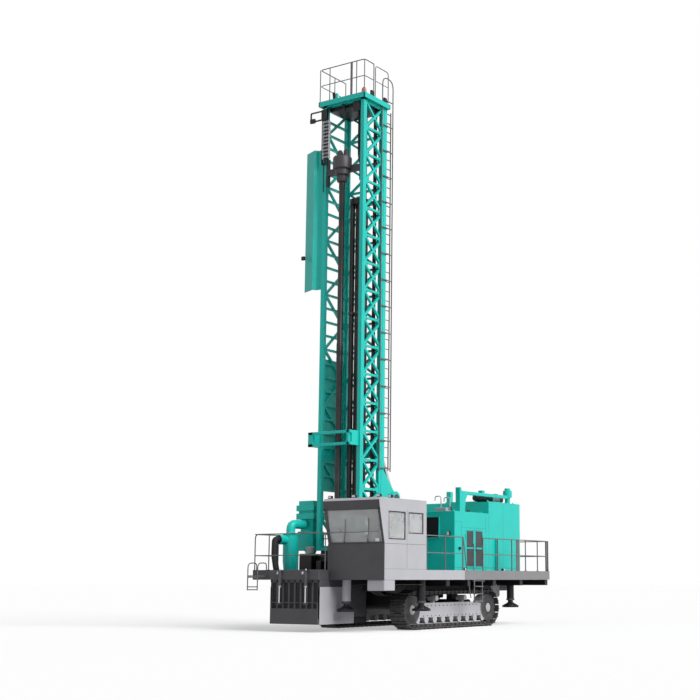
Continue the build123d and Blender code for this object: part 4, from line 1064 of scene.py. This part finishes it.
bands = Shape()
for y, z in (
    ((CAB["inner"], 0.49), (CAB["sill"], CAB["eaves"])),
    ((2.43, CAB["outer"]), (CAB["sill"], CAB["eaves"])),
    ((CAB["inner"], CAB["outer"]), (2.695, 2.745)),
    ((CAB["inner"], CAB["outer"]), (3.725, CAB["eaves"])),
):
    low, high = z
    outline = [
        (leaning(low), low), (leaning(low, 0.01), low), (leaning(high, 0.01), high),
        (leaning(high), high),
    ]
    bands.prism(outline, "y", *y)
bands.prism(
    [(brow, CAB["eaves"]), (brow + 0.012, CAB["eaves"]), (brow + 0.052, 4.02), (brow + 0.04, 4.02)],
    "y",
    CAB["inner"],
    CAB["outer"],
)
for y in (1.0, 1.9):
    bands.tube(
        [
            (leaning(2.76, 0.03), y, 2.76), (leaning(3.1, 0.03), y + 0.1, 3.1),
            (leaning(3.45, 0.03), y + 0.16, 3.45),
        ],
        0.011,
    )
    bands.rod((leaning(2.74), y, 2.75), (leaning(2.74, 0.045), y, 2.75), 0.025)
bands.become("cab_dark_bands", dark_grey)

gaskets = Shape()
for rear, front, base in ((3.87, 4.79, 2.83), (2.86, 3.7, 3.03)):
    for face in ((2.498, 2.5206), (0.3594, 0.382)):
        gaskets.border("y", face, (rear, front), (base, 3.7), 0.028)
for face in ((2.515, 2.5206), (0.3594, 0.365)):
    gaskets.blocks(
        ((3.776, 3.786), face, (1.96, 3.78)), ((2.72, 4.97), face, (2.693, 2.703)),
        ((2.72, 4.97), face, (1.925, 1.932)),
    )
gaskets.become("cab_gaskets_and_seams", rail_dark)

cab_lamps = Shape()
cab_lenses = Shape()
for x, y in ((5.12, 2.38), (5.12, 0.5), (4.6, 2.44), (5.12, 1.44)):
    cab_lamps.block((x - 0.07, x + 0.05), (y - 0.07, y + 0.07), (4.11, 4.2), chamfer=0.012)
    cab_lamps.rod((x, y, 4.08), (x, y, 4.12), 0.02)
    cab_lenses.block((x + 0.048, x + 0.055), (y - 0.055, y + 0.055), (4.125, 4.185))
cab_lenses.block((leaning(2.8, 0.01), leaning(2.8, 0.03)), (2.2, 2.34), (2.76, 2.86), chamfer=0.006)
cab_lamps.become("cab_lamp_bodies", black_steel)
cab_lenses.become("cab_lamp_lenses", lamp_glass)

inside = Shape()
inside.blocks(
    ((4.55, 4.86), (0.62, 1.02), (CAB_FLOOR, 2.72)), ((4.62, 4.9), (1.1, 1.8), (CAB_FLOOR, 2.3)),
    chamfer=0.03,
)
for y in (1.06, 1.84):
    inside.block((3.95, 4.45), (y - 0.1, y + 0.1), (CAB_FLOOR, 2.5), chamfer=0.03)
    inside.rod((4.35, y, 2.5), (4.38, y, 2.68), 0.018)
    inside.rod((4.38, y, 2.66), (4.385, y, 2.76), 0.032, end_radius=0.024)
inside.become("cab_console", rail_dark)
lining = Shape()
lining.block((2.745, 2.775), (0.46, 1.54), (2.0, 3.72), chamfer=0.006)
for y in (0.66, 0.95, 1.24):
    lining.block((2.77, 2.82), (y - 0.05, y + 0.05), (2.1, 3.68), chamfer=0.01)
lining.block((2.9, 4.9), (0.44, 2.44), (3.755, 3.775), chamfer=0.004)
lining.become("cab_lining", light_grey)
screens = Shape()
screens.prism([(4.6, 2.74), (4.63, 2.73), (4.72, 3.0), (4.69, 3.01)], "y", 0.66, 0.98)
screens.prism([(4.66, 3.1), (4.69, 3.09), (4.74, 3.28), (4.71, 3.29)], "y", 0.55, 0.8)
screens.rod((4.65, 0.82, 2.7), (4.66, 0.82, 2.8), 0.02)
screens.become("cab_screens", black_steel)

fabric = finish(
    "seat_fabric", (0.045, 0.047, 0.055), 0.92, mottle=0.25, skin=0.0015, edge=0.0,
)
SEAT = (4.0, 1.45)
SWELL_LIMIT = 0.014


def seat_box(x, y, z):
    """Limits of a box, given from the middle of the seat's foot."""
    foot = (*SEAT, CAB_FLOOR)
    return [(at + low, at + high) for at, (low, high) in zip(foot, (x, y, z))]


def cushion(name, x, y, z):
    """Foam pad in fabric: a block with broken edges, blown up a little by a cloth run."""
    pad = Shape()
    pad.block(x, y, z, chamfer=0.035)
    piece = pad.become(name, fabric, body=None)
    bpy.context.view_layer.objects.active = piece
    remesh = piece.modifiers.new("remesh", "REMESH")
    remesh.mode = "VOXEL"
    remesh.voxel_size = 0.006
    evaluated = piece.evaluated_get(bpy.context.evaluated_depsgraph_get())
    fine = bpy.data.meshes.new_from_object(evaluated)
    piece.modifiers.remove(remesh)
    piece.data = fine
    before = [corner.co.copy() for corner in fine.vertices]
    cloth = piece.modifiers.new("cloth", "CLOTH")
    cloth.settings.use_pressure = True
    cloth.settings.uniform_pressure_force = 4.0
    cloth.settings.effector_weights.gravity = 0.0
    scene = bpy.context.scene
    for number in range(1, 21):
        scene.frame_set(number)
    swollen = piece.evaluated_get(bpy.context.evaluated_depsgraph_get())
    after = [corner.co.copy() for corner in swollen.data.vertices]
    piece.modifiers.remove(cloth)
    scene.frame_set(1)
    for corner, old, new in zip(fine.vertices, before, after):
        step = new - old
        if step.length >= SWELL_LIMIT:
            step = step.normalized() * SWELL_LIMIT
        corner.co = old + step
    smooth = piece.modifiers.new("smooth", "LAPLACIANSMOOTH")
    smooth.iterations = 2
    smooth.lambda_factor = 0.4
    final = bpy.data.meshes.new_from_object(
        piece.evaluated_get(bpy.context.evaluated_depsgraph_get())
    )
    piece.modifiers.remove(smooth)
    final.polygons.foreach_set("use_smooth", [True] * len(final.polygons))
    final.materials.clear()
    final.materials.append(fabric)
    piece.data = final
    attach(piece, "chassis")
    return piece


cushion("seat_cushion", *seat_box((-0.25, 0.25), (-0.245, 0.245), (0.385, 0.485)))
cushion("seat_back_cushion", *seat_box((-0.345, -0.245), (-0.235, 0.235), (0.5, 1.02)))
cushion("seat_headrest", *seat_box((-0.335, -0.265), (-0.13, 0.13), (1.03, 1.14)))
seams_of_seat = Shape()
for shift in (-0.12, 0.12):
    seams_of_seat.tube(
        [
            (SEAT[0] - 0.2, SEAT[1] + shift, CAB_FLOOR + 0.492),
            (SEAT[0] + 0.2, SEAT[1] + shift, CAB_FLOOR + 0.492),
        ],
        0.0035,
    )
    seams_of_seat.tube(
        [
            (SEAT[0] - 0.238, SEAT[1] + shift, CAB_FLOOR + 0.55),
            (SEAT[0] - 0.238, SEAT[1] + shift, CAB_FLOOR + 0.98),
        ],
        0.0035,
    )
seams_of_seat.become("seat_seams", fabric)
seat_base = Shape()
seat_base.turned(
    (*SEAT, CAB_FLOOR),
    (0, 0, 1),
    [(0, 0), (0.19, 0), (0.19, 0.02), (0.12, 0.06), (0.1, 0.3), (0.15, 0.345), (0, 0.345)],
)
seat_base.block(*seat_box((-0.24, 0.23), (-0.23, 0.23), (0.34, 0.395)), chamfer=0.01)
seat_base.block(*seat_box((-0.36, -0.325), (-0.21, 0.21), (0.4, 1.02)), chamfer=0.012)
for y in (-0.305, 0.305):
    arm = seat_box((-0.26, 0.18), (y - 0.045, y + 0.045), (0.62, 0.69))
    seat_base.block(*arm, chamfer=0.02)
    post = seat_box((-0.33, -0.25), (y - 0.02, y + 0.02), (0.45, 0.66))
    seat_base.block(*post, chamfer=0.01)
seat_base.rod(
    (SEAT[0] - 0.3, SEAT[1], CAB_FLOOR + 1.0), (SEAT[0] - 0.3, SEAT[1], CAB_FLOOR + 1.08), 0.015
)
seat_base.become("seat_base", black_steel, replaced=["operator_seat"])

# Mast
# Two side frames and a back frame of welded steel tube, painted as the house, with doubled
# braces, gussets and a plated part. On top are a deep-edged platform with its railing, a bent
# hose guide, a beacon and a jib, and hoses run down both sides.
dress(teal, "mast_supports", "mast_left", "mast_right", "mast_back", "mast_foot")
rail_grey = finish("rail_grey_paint", (0.13, 0.13, 0.135), 0.4, coat=0.2)
dress(rail_grey, "mast_ladder")
MAST = {"left": -1.43, "right": 0.33, "rear": 1.97, "front": 3.35, "foot": 2.64, "top": 18.0}
BAYS = 16
BAY = (MAST["top"] - MAST["foot"]) / BAYS
BRACE = 0.075
REAR_IN, FRONT_IN = 2.14, 3.18
braces = Shape()
joints = Shape()
for number in range(BAYS):
    low = MAST["foot"] + number * BAY
    high = low + BAY
    even = number % 2 == 0
    ends = ((REAR_IN, high), (FRONT_IN, low)) if even else ((REAR_IN, low), (FRONT_IN, high))
    braces.beam(*ends, BRACE, "y", 0.2235, 0.2965)
    braces.beam((REAR_IN, low + BAY / 2), (FRONT_IN, low + BAY / 2), BRACE, "y", -1.3965, -1.3235)
    back = ((-1.23, high), (0.13, low)) if even else ((-1.23, low), (0.13, high))
    braces.beam(*back, BRACE, "x", 2.0015, 2.0735)
    joints.turned(
        (2.038, MAST_Y, low + BAY / 2), (1, 0, 0),
        [(0, -0.045), (0.13, -0.045), (0.13, 0.045), (0, 0.045)], sides=8,
    )
    if number:
        for x, way in ((2.27, 1), (FRONT_IN, -1)):
            joints.prism(
                [(x, low - 0.16), (x + way * 0.16, low), (x, low + 0.16)], "y", 0.218, 0.302
            )
braces.blocks(
    ((2.002, 2.073), (-0.6, -0.5), (MAST["foot"], MAST["top"])),
    ((REAR_IN - 0.01, 2.27), (0.2, 0.32), (MAST["foot"], MAST["top"])),
    ((REAR_IN, FRONT_IN), (-1.412, -1.4), (4.54, 9.04)),
)
for z in (4.56, 5.46, 6.36, 7.26, 8.16, 9.0):
    braces.block((REAR_IN, FRONT_IN), (-1.424, -1.411), (z - 0.03, z + 0.03), chamfer=0.004)
braces.become("mast_braces", teal, "mast")
joints.become("mast_gussets", teal, "mast")
chord_bolts = []
for number in range(1, BAYS):
    z = MAST["foot"] + number * BAY
    for shift in (-0.08, 0.0, 0.08):
        for x in (2.2, 3.26):
            chord_bolts.append(((x, MAST["right"], z + shift), (0, 1, 0)))
            chord_bolts.append(((x, MAST["left"], z + shift), (0, -1, 0)))
bolted("mast_chord_bolts", chord_bolts, teal, "mast", size=0.013)

PLATFORM = {"rear": 1.91, "front": 3.47, "left": -1.58, "right": 0.43, "top": 18.2}
PLATFORM_RAIL, PLATFORM_KNEE_RAIL = 19.4, 18.8
crown = Shape()
edges = ((PLATFORM["rear"], PLATFORM["front"]), (PLATFORM["left"], PLATFORM["right"]))
crown.block(*edges, (18.185, PLATFORM["top"]), chamfer=0.003)
crown.border("z", (18.02, 18.195), *edges, 0.05, chamfer=0.008)
crown.blocks(
    ((MAST["rear"], MAST["front"]), (MAST["left"], MAST["left"] + 0.14), (17.99, 18.12)),
    ((MAST["rear"], MAST["front"]), (MAST["right"] - 0.14, MAST["right"]), (17.99, 18.12)),
    ((3.2, 3.35), (MAST["left"], MAST["right"]), (17.99, 18.12)),
)
crown.block((3.36, 3.44), (-0.86, -0.78), (PLATFORM["top"], 18.4), chamfer=0.01)
crown.become("mast_crown_frame", teal, "mast", replaced=["mast_crown"])

under = Shape()
under.block((2.0, 3.19), (-1.28, 0.18), (17.86, 18.16), chamfer=0.02)
arch = [(3.3, -1.34, 17.5), (3.3, -1.3, 18.02), (3.3, -0.58, 18.05), (3.3, -0.53, 17.6)]
under.tube(arch, 0.04, sides=10, bend=0.3)
under.block((3.2, 3.34), (-0.16, 0.12), (17.62, 17.98), chamfer=0.02)
under.beam((3.38, 18.1), (3.44, 18.44), 0.07, "y", -0.97, -0.89)
under.blocks(
    ((2.86, 3.04), (0.34, 0.42), (PLATFORM["top"], 18.4)),
    ((2.1, 2.26), (0.34, 0.42), (PLATFORM["top"], 18.38)), chamfer=0.015,
)
under.become("mast_crown_gear", black_steel, "mast")

hoses = Shape()
for number in range(6):
    y = -0.115 + 0.045 * number
    hoses.tube(
        [
            (3.05, y, 17.95), (3.05, y, 16.2), (3.02, y + 0.01, 15.9),
            (3.02, 0.13, 15.4 - 0.1 * number),
        ],
        0.024,
    )
for number in range(4):
    hoses.tube([(2.32 + 0.05 * number, 0.13, 17.9), (2.32 + 0.05 * number, 0.13, 3.0)], 0.019)
hoses.tube([(2.41, 0.13, 15.2), (2.41, 0.13, 16.4)], 0.055, sides=12)
hoses.tube([(3.37, -1.45, 17.62), (3.37, -1.45, 15.9)], 0.035)
hoses.tube([(3.37, -1.39, 15.95), (3.37, -1.38, 14.9)], 0.012)
hoses.become("mast_hoses", rubber, "mast")

jib = Shape()
jib.tube(
    [(3.38, -1.3, 17.88), (3.38, -1.97, 17.88), (3.38, -1.97, 17.56), (3.38, -1.3, 17.56)],
    0.03,
    bend=0.04,
)
jib.blocks(
    ((3.34, 3.44), (-1.99, -1.78), (17.5, 17.66)), ((3.3, 3.42), (-1.5, -1.26), (17.52, 17.92)),
    chamfer=0.02,
)
jib.become("mast_jib", black_steel, "mast")
links = []
for number in range(11):
    links.append(((3.43, -1.235, 17.4 - 0.128 * number), (0, 0, 0)))
link = Shape()
for side in (-1, 1):
    link.block(
        (-0.055, 0.055), (side * 0.13 - 0.012, side * 0.13 + 0.012), (-0.058, 0.058), chamfer=0.008
    )
link.block((-0.045, 0.045), (-0.13, 0.13), (-0.012, 0.012), chamfer=0.004)
link.rod((0, -0.15, 0.045), (0, 0.15, 0.045), 0.018, sides=8)
link_template = link.become("link_template", light_grey, body=None)
repeated("mast_hose_chain", link_template, links, light_grey, "mast")
bpy.data.objects.remove(link_template)
chain_hoses = Shape()
for y in (-1.3, -1.26, -1.2, -1.16):
    chain_hoses.tube([(3.43, y, 17.5), (3.43, y, 16.05), (3.4, y - 0.02, 15.85)], 0.017)
chain_hoses.become("mast_chain_hoses", rubber, "mast")

beacon = Shape()
beacon.turned(
    (3.3, 0.28, PLATFORM["top"]),
    (0, 0, 1),
    [(0, 0), (0.1, 0), (0.1, 0.05), (0.085, 0.07), (0.085, 0.15), (0.05, 0.22), (0, 0.24)],
)
amber = finish("beacon_amber", (0.45, 0.1, 0.06), 0.25, coat=0.8, mottle=0.05, edge=0.0)
beacon.become("mast_beacon", amber, "mast")

top_rail = Shape()
rail_x, rail_left, rail_right = 3.43, -1.54, 0.39
for z, radius in ((PLATFORM_RAIL, 0.019), (PLATFORM_KNEE_RAIL, 0.016)):
    top_rail.tube(
        [
            (1.95, rail_left, z), (rail_x, rail_left, z), (rail_x, rail_right, z),
            (2.9, rail_right, z),
        ],
        radius,
        bend=0.12,
    )
top_rail.tube(
    [
        (2.98, rail_right, PLATFORM_RAIL), (2.88, rail_right, PLATFORM_RAIL),
        (2.88, rail_right, PLATFORM["top"]),
    ],
    0.019,
    bend=0.12,
)
for x, y in (
    (rail_x, rail_left), (rail_x, -1.12), (rail_x, 0.05), (1.95, rail_left), (2.6, rail_left),
    (rail_x, rail_right),
):
    top_rail.rod((x, y, PLATFORM["top"]), (x, y, PLATFORM_RAIL), 0.017, sides=10)
top_rail.block((3.41, 3.45), (-0.21, -0.13), (PLATFORM["top"], PLATFORM_RAIL), chamfer=0.006)
top_rail.tube(
    [
        (2.02, 0.4, PLATFORM["top"]), (2.02, 0.4, 19.36), (2.8, 0.4, 19.36),
        (2.8, 0.4, PLATFORM["top"]),
    ],
    0.017,
    bend=0.12,
)
top_rail.tube([(2.02, 0.4, PLATFORM_KNEE_RAIL), (2.8, 0.4, PLATFORM_KNEE_RAIL)], 0.013)
top_rail.tube(
    [(2.3, 0.36, 5.2), (2.3, 0.36, 19.16), (1.66, 0.36, 19.16), (1.66, 0.36, 5.2)], 0.021, bend=0.3
)
for number in range(15):
    z = 5.3 + number * 0.93
    top_rail.block((1.66, 2.3), (0.345, 0.375), (z - 0.018, z + 0.018), chamfer=0.004)
    top_rail.block((1.95, 1.99), (0.32, 0.36), (z - 0.03, z + 0.03))
top_rail.become("mast_top_railing", rail_grey, "mast", replaced=["mast_top_rail"])

shield = Shape()
front = MAST["front"]
left = MAST["left"]
shield.prism(
    [
        (front - 0.06, left), (front - 0.06, left - 0.24), (front + 0.06, left - 0.33),
        (front - 0.15, left - 0.83), (front - 0.172, left - 0.82), (front + 0.032, left - 0.336),
        (front - 0.084, left - 0.252), (front - 0.084, left),
    ],
    "z",
    11.45,
    16.48,
)
for z in (11.9, 13.9, 15.9):
    shield.block(
        (front - 0.19, front - 0.08), (left - 0.26, left), (z - 0.04, z + 0.04), chamfer=0.006
    )
shield.become("mast_shield_panel", teal, "mast", replaced=["mast_shield"])
shield_lamp = Shape()
shield_lamp.block(
    (front - 0.02, front + 0.08), (left - 0.84, left - 0.7), (12.56, 12.7), chamfer=0.02
)
shield_lamp.become("mast_shield_lamp", black_steel, "mast")

yoke = Shape()
YOKE = (3.72, 3.815)
YOKE_HEIGHT = (5.96, 6.445)
for z in (5.96, 6.35):
    yoke.block(YOKE, (left - 0.06, 0.27), (z, z + 0.095), chamfer=0.008)
for y in ((left - 0.06, left + 0.14), (0.11, 0.21)):
    yoke.block(YOKE, y, YOKE_HEIGHT, chamfer=0.008)
for y in (left, 0.175):
    yoke.block((front - 0.002, YOKE[0] + 0.004), (y, y + 0.095), YOKE_HEIGHT, chamfer=0.008)
yoke.become("mast_yoke_frame", teal, "mast", replaced=["mast_yoke"])

foot_gear = Shape()
foot_gear.turned(
    (HOLE_X, MAST_Y, 2.42),
    (0, 0, 1),
    [(0.115, 0), (0.22, 0), (0.22, 0.1), (0.19, 0.13), (0.115, 0.13)],
)
foot_gear.blocks(
    ((3.05, 3.34), (-1.25, -0.9), (2.35, 2.55)), ((3.05, 3.34), (-0.2, 0.2), (2.35, 2.55)),
    chamfer=0.02,
)
foot_gear.rod((3.2, 0.05, 2.45), (3.2, 0.3, 2.45), 0.06)
foot_gear.become("mast_foot_gear", black_steel, "mast")

HINGE = (1.35, 4.33)
pins = Shape()
pin_bolts = []
for face, way in ((0.41, 1), (-1.51, -1)):
    pins.turned(
        (HINGE[0], face, HINGE[1]),
        (0, way, 0),
        [(0, -0.005), (0.135, -0.005), (0.135, 0.02), (0.115, 0.032), (0, 0.032)],
    )
    for number in range(8):
        turn = math.pi * number / 4
        x, z = HINGE[0] + 0.1 * math.cos(turn), HINGE[1] + 0.1 * math.sin(turn)
        pin_bolts.append(((x, face + way * 0.03, z), (0, way, 0)))
pins.become("mast_hinge_caps", dark_grey)
bolted("mast_hinge_bolts", pin_bolts, black_steel, size=0.014)

# Raising cylinders
# Two black steel barrels pinned to the chassis, each with two bands and a pipe between its
# ports, and bright ground rods that push the mast up.
dress(black_steel, "lift_barrels")
dress(bright_rod, "lift_rods")
LIFT_BASE, LIFT_EYE = Vector((0, 0, 2.33)), Vector((1.85, 0, 5.93))
lift_way = (LIFT_EYE - LIFT_BASE).normalized()
lift_gear = Shape()
for y in (0.05, -1.15):
    base = Vector((0, y, 0)) + LIFT_BASE
    for along in (0.26, 2.19):
        lift_gear.turned(
            base + lift_way * along, lift_way,
            [(0.129, 0), (0.155, 0.01), (0.155, 0.09), (0.129, 0.1)],
        )
    side = lift_way.cross(Vector((0, 1, 0)))
    for along in (0.42, 2.05):
        spot = base + lift_way * along
        lift_gear.rod(spot + side * 0.12, spot + side * 0.18, 0.028)
    lift_gear.tube(
        [
            base + lift_way * 0.42 + side * 0.17, base + lift_way * 0.9 + side * 0.17,
            base + lift_way * 2.05 + side * 0.17,
        ],
        0.014,
    )
lift_gear.become("lift_glands_and_ports", black_steel, "lift_barrel")

# Rotary head, string and carousel
# A dark steel drum with two motors and a bolted ring that travels on the mast's front, drill
# pipes of bare steel with thicker joints, and a carousel with cups beside them.
pipe_steel = finish("pipe_steel", (0.035, 0.034, 0.036), 0.35, metallic=0.7, mottle=0.25)
head_grey = finish(
    "head_grey", (0.055, 0.052, 0.056), 0.45, metallic=0.2, mottle=0.15
)
dress(head_grey, "rotary_head")
dress(black_steel, "pipe_carousel")
dress(pipe_steel, "stored_pipes")
STRING = (HOLE_X, MAST_Y)
CAROUSEL = (2.78, -0.25)
drum = Shape()
drum.turned(
    (*STRING, 15.36),
    (0, 0, 1),
    [(0.12, 0.2), (0.3, 0.2), (0.33, 0.23), (0.33, 0.6), (0.31, 0.64), (0.24, 0.66), (0.12, 0.66)],
    sides=36,
)
for shift in (-0.13, 0.13):
    drum.turned(
        (3.34, STRING[1] + shift, 16.21), (0, 0, 1),
        [(0, 0), (0.075, 0), (0.075, 0.06), (0.04, 0.09), (0, 0.09)],
    )
drum.turned(
    (*STRING, 15.12), (0, 0, 1), [(0.114, 0), (0.17, 0), (0.19, 0.05), (0.19, 0.24), (0.114, 0.24)]
)
drum.become("head_drum", head_grey, "head")
ring = []
for number in range(18):
    turn = math.pi * number / 9
    x, y = STRING[0] + 0.28 * math.cos(turn), STRING[1] + 0.28 * math.sin(turn)
    ring.append(((x, y, 16.005), (0, 0, 1)))
bolted("head_drum_bolts", ring, black_steel, "head", size=0.017)
string = Shape()
profile = [(0.0, 0.0), (0.085, 0.0)]
for base in (0.0, 6.3):
    profile += [(0.11, base + 0.03), (0.11, base + 0.42), (0.1, base + 0.46)]
    profile += [(0.1, base + 5.82), (0.11, base + 5.86), (0.11, base + 6.24), (0.104, base + 6.27)]
profile += [(0.104, 12.6397), (0.0, 12.6397)]
string.turned((*STRING, 2.72), (0, 0, 1), profile, sides=32)
string.become("drill_string_pipes", pipe_steel, "string", replaced=["drill_string"])
cups = Shape()
for number in range(4):
    turn = math.radians(45 + 90 * number)
    x, y = CAROUSEL[0] + 0.225 * math.cos(turn), CAROUSEL[1] + 0.225 * math.sin(turn)
    cups.turned((x, y, 3.02), (0, 0, 1), [(0.091, 0), (0.115, 0), (0.115, 0.16), (0.091, 0.16)])
    for z in (6.5, 10.5):
        cups.turned((x, y, z), (0, 0, 1), [(0.091, 0), (0.112, 0), (0.112, 0.08), (0.091, 0.08)])
for z in (6.5, 10.5):
    cups.turned(
        (*CAROUSEL, z), (0, 0, 1), [(0.061, 0), (0.15, 0), (0.15, 0.06), (0.061, 0.06)], sides=12
    )
cups.become("carousel_cups", dark_grey, "carousel")

# Railings and ladder
# Round steel tube, painted grey, along the deck edges on bolted feet, a hooped ladder at the
# front corner, broad posts at the rear, and bars on the access ladder's treads.
dress(rail_grey, "railing_left", "access_ladder")
rails = Shape()
feet = []
FRONT_RAIL = 5.19
RAIL_Y = 2.48
LADDER_SIDES = (-2.37, -1.96)
RAIL_TOP = DECK_TOP + 1.14
for z, radius in ((RAIL_TOP, 0.019), (DECK_TOP + 0.46, 0.016)):
    rails.tube([(4.05, -RAIL_Y, z), (FRONT_RAIL, -RAIL_Y, z)], radius)
rails.tube(
    [
        (FRONT_RAIL, -RAIL_Y, DECK_TOP), (FRONT_RAIL, -RAIL_Y, RAIL_TOP),
        (FRONT_RAIL, 0.39, RAIL_TOP), (FRONT_RAIL, 0.39, DECK_TOP),
    ],
    0.019,
    bend=0.14,
)
rails.tube([(FRONT_RAIL, -RAIL_Y, DECK_TOP + 0.46), (FRONT_RAIL, 0.39, DECK_TOP + 0.46)], 0.015)
rails.tube(
    [
        (FRONT_RAIL, 0.3, RAIL_TOP), (FRONT_RAIL, 2.46, RAIL_TOP),
        (leaning(RAIL_TOP), 2.46, RAIL_TOP),
    ],
    0.013,
    bend=0.05,
)
rails.rod((4.5, -RAIL_Y, DECK_TOP), (4.5, -RAIL_Y, RAIL_TOP), 0.019)
rails.rod((4.05, -RAIL_Y, DECK_TOP), (4.05, -RAIL_Y, RAIL_TOP), 0.03)
rails.become("railing_front_tubes", rail_grey, replaced=["railing_front"])
ladder = Shape()
for y in LADDER_SIDES:
    ladder.tube(
        [
            (5.64, y, 1.27), (5.64, y, DECK_TOP + 0.22), (FRONT_RAIL + 0.03, y, DECK_TOP + 0.22),
            (FRONT_RAIL + 0.03, y, DECK_TOP),
        ],
        0.018,
        bend=0.16,
    )
for z in (1.29, 1.38, 1.68):
    ladder.rod((5.64, LADDER_SIDES[0], z), (5.64, LADDER_SIDES[1], z), 0.016)
for y in LADDER_SIDES:
    ladder.block((5.22, 5.645), (y - 0.012, y + 0.012), (1.7, 1.74))
ladder.become("front_ladder", rail_grey)
side_rails = Shape()
for ends in ((2.62, 0.4), (-0.9, -5.62)):
    for z, radius in ((DECK_TOP + 1.1, 0.019), (DECK_TOP + 0.55, 0.016)):
        side_rails.tube([(ends[0], RAIL_Y, z), (ends[1], RAIL_Y, z)], radius)
for x in (2.62, 1.5, 0.4, -0.9, -1.9, -2.9, -3.9, -4.8, -5.62):
    side_rails.rod((x, RAIL_Y, DECK_TOP), (x, RAIL_Y, DECK_TOP + 1.11), 0.021)
for x in (-3.3, -3.42, -5.55):
    side_rails.block(
        (x - 0.05, x + 0.05), (2.45, 2.475), (DECK_TOP, DECK_TOP + 1.08), chamfer=0.005
    )
side_rails.tube(
    [(0.38, RAIL_Y, DECK_TOP + 1.1), (0.1, 2.47, 1.75), (-0.12, 2.47, 1.0)], 0.017, bend=0.1
)
side_rails.tube([(-0.3, RAIL_Y, DECK_TOP + 0.9), (-0.3, RAIL_Y, DECK_TOP)], 0.017)
side_rails.become("railing_right_tubes", rail_grey, replaced=["railing_right"])
plates = Shape()
rail_feet = [(x, RAIL_Y) for x in (2.6, 1.5, 0.42, -0.92, -1.9, -2.9, -3.9, -4.8)]
rail_feet += [(x, -RAIL_Y) for x in (-4.8, -3.9, -2.9, -1.9, -0.9, 0.1, 1.1, 4.05, 4.5)]
for x, y in rail_feet:
    plates.block(
        (x - 0.055, x + 0.055), (y - 0.035, y + 0.035), (DECK_TOP, DECK_TOP + 0.012), chamfer=0.003
    )
    for shift in (-0.038, 0.038):
        feet.append(((x + shift, y, DECK_TOP + 0.012), (0, 0, 1)))
plates.become("railing_feet", rail_grey)
bolted("railing_bolts", feet, black_steel, size=0.01)
treads = Shape()
for number in range(3):
    z = 0.88 + number * 0.24
    for shift in (-0.03, 0.0, 0.03):
        treads.block(
            (-0.84, -0.36), (2.47 + shift - 0.006, 2.47 + shift + 0.006), (z + 0.012, z + 0.024),
            chamfer=0.002,
        )
treads.become("access_ladder_treads", rail_grey, "ladder")
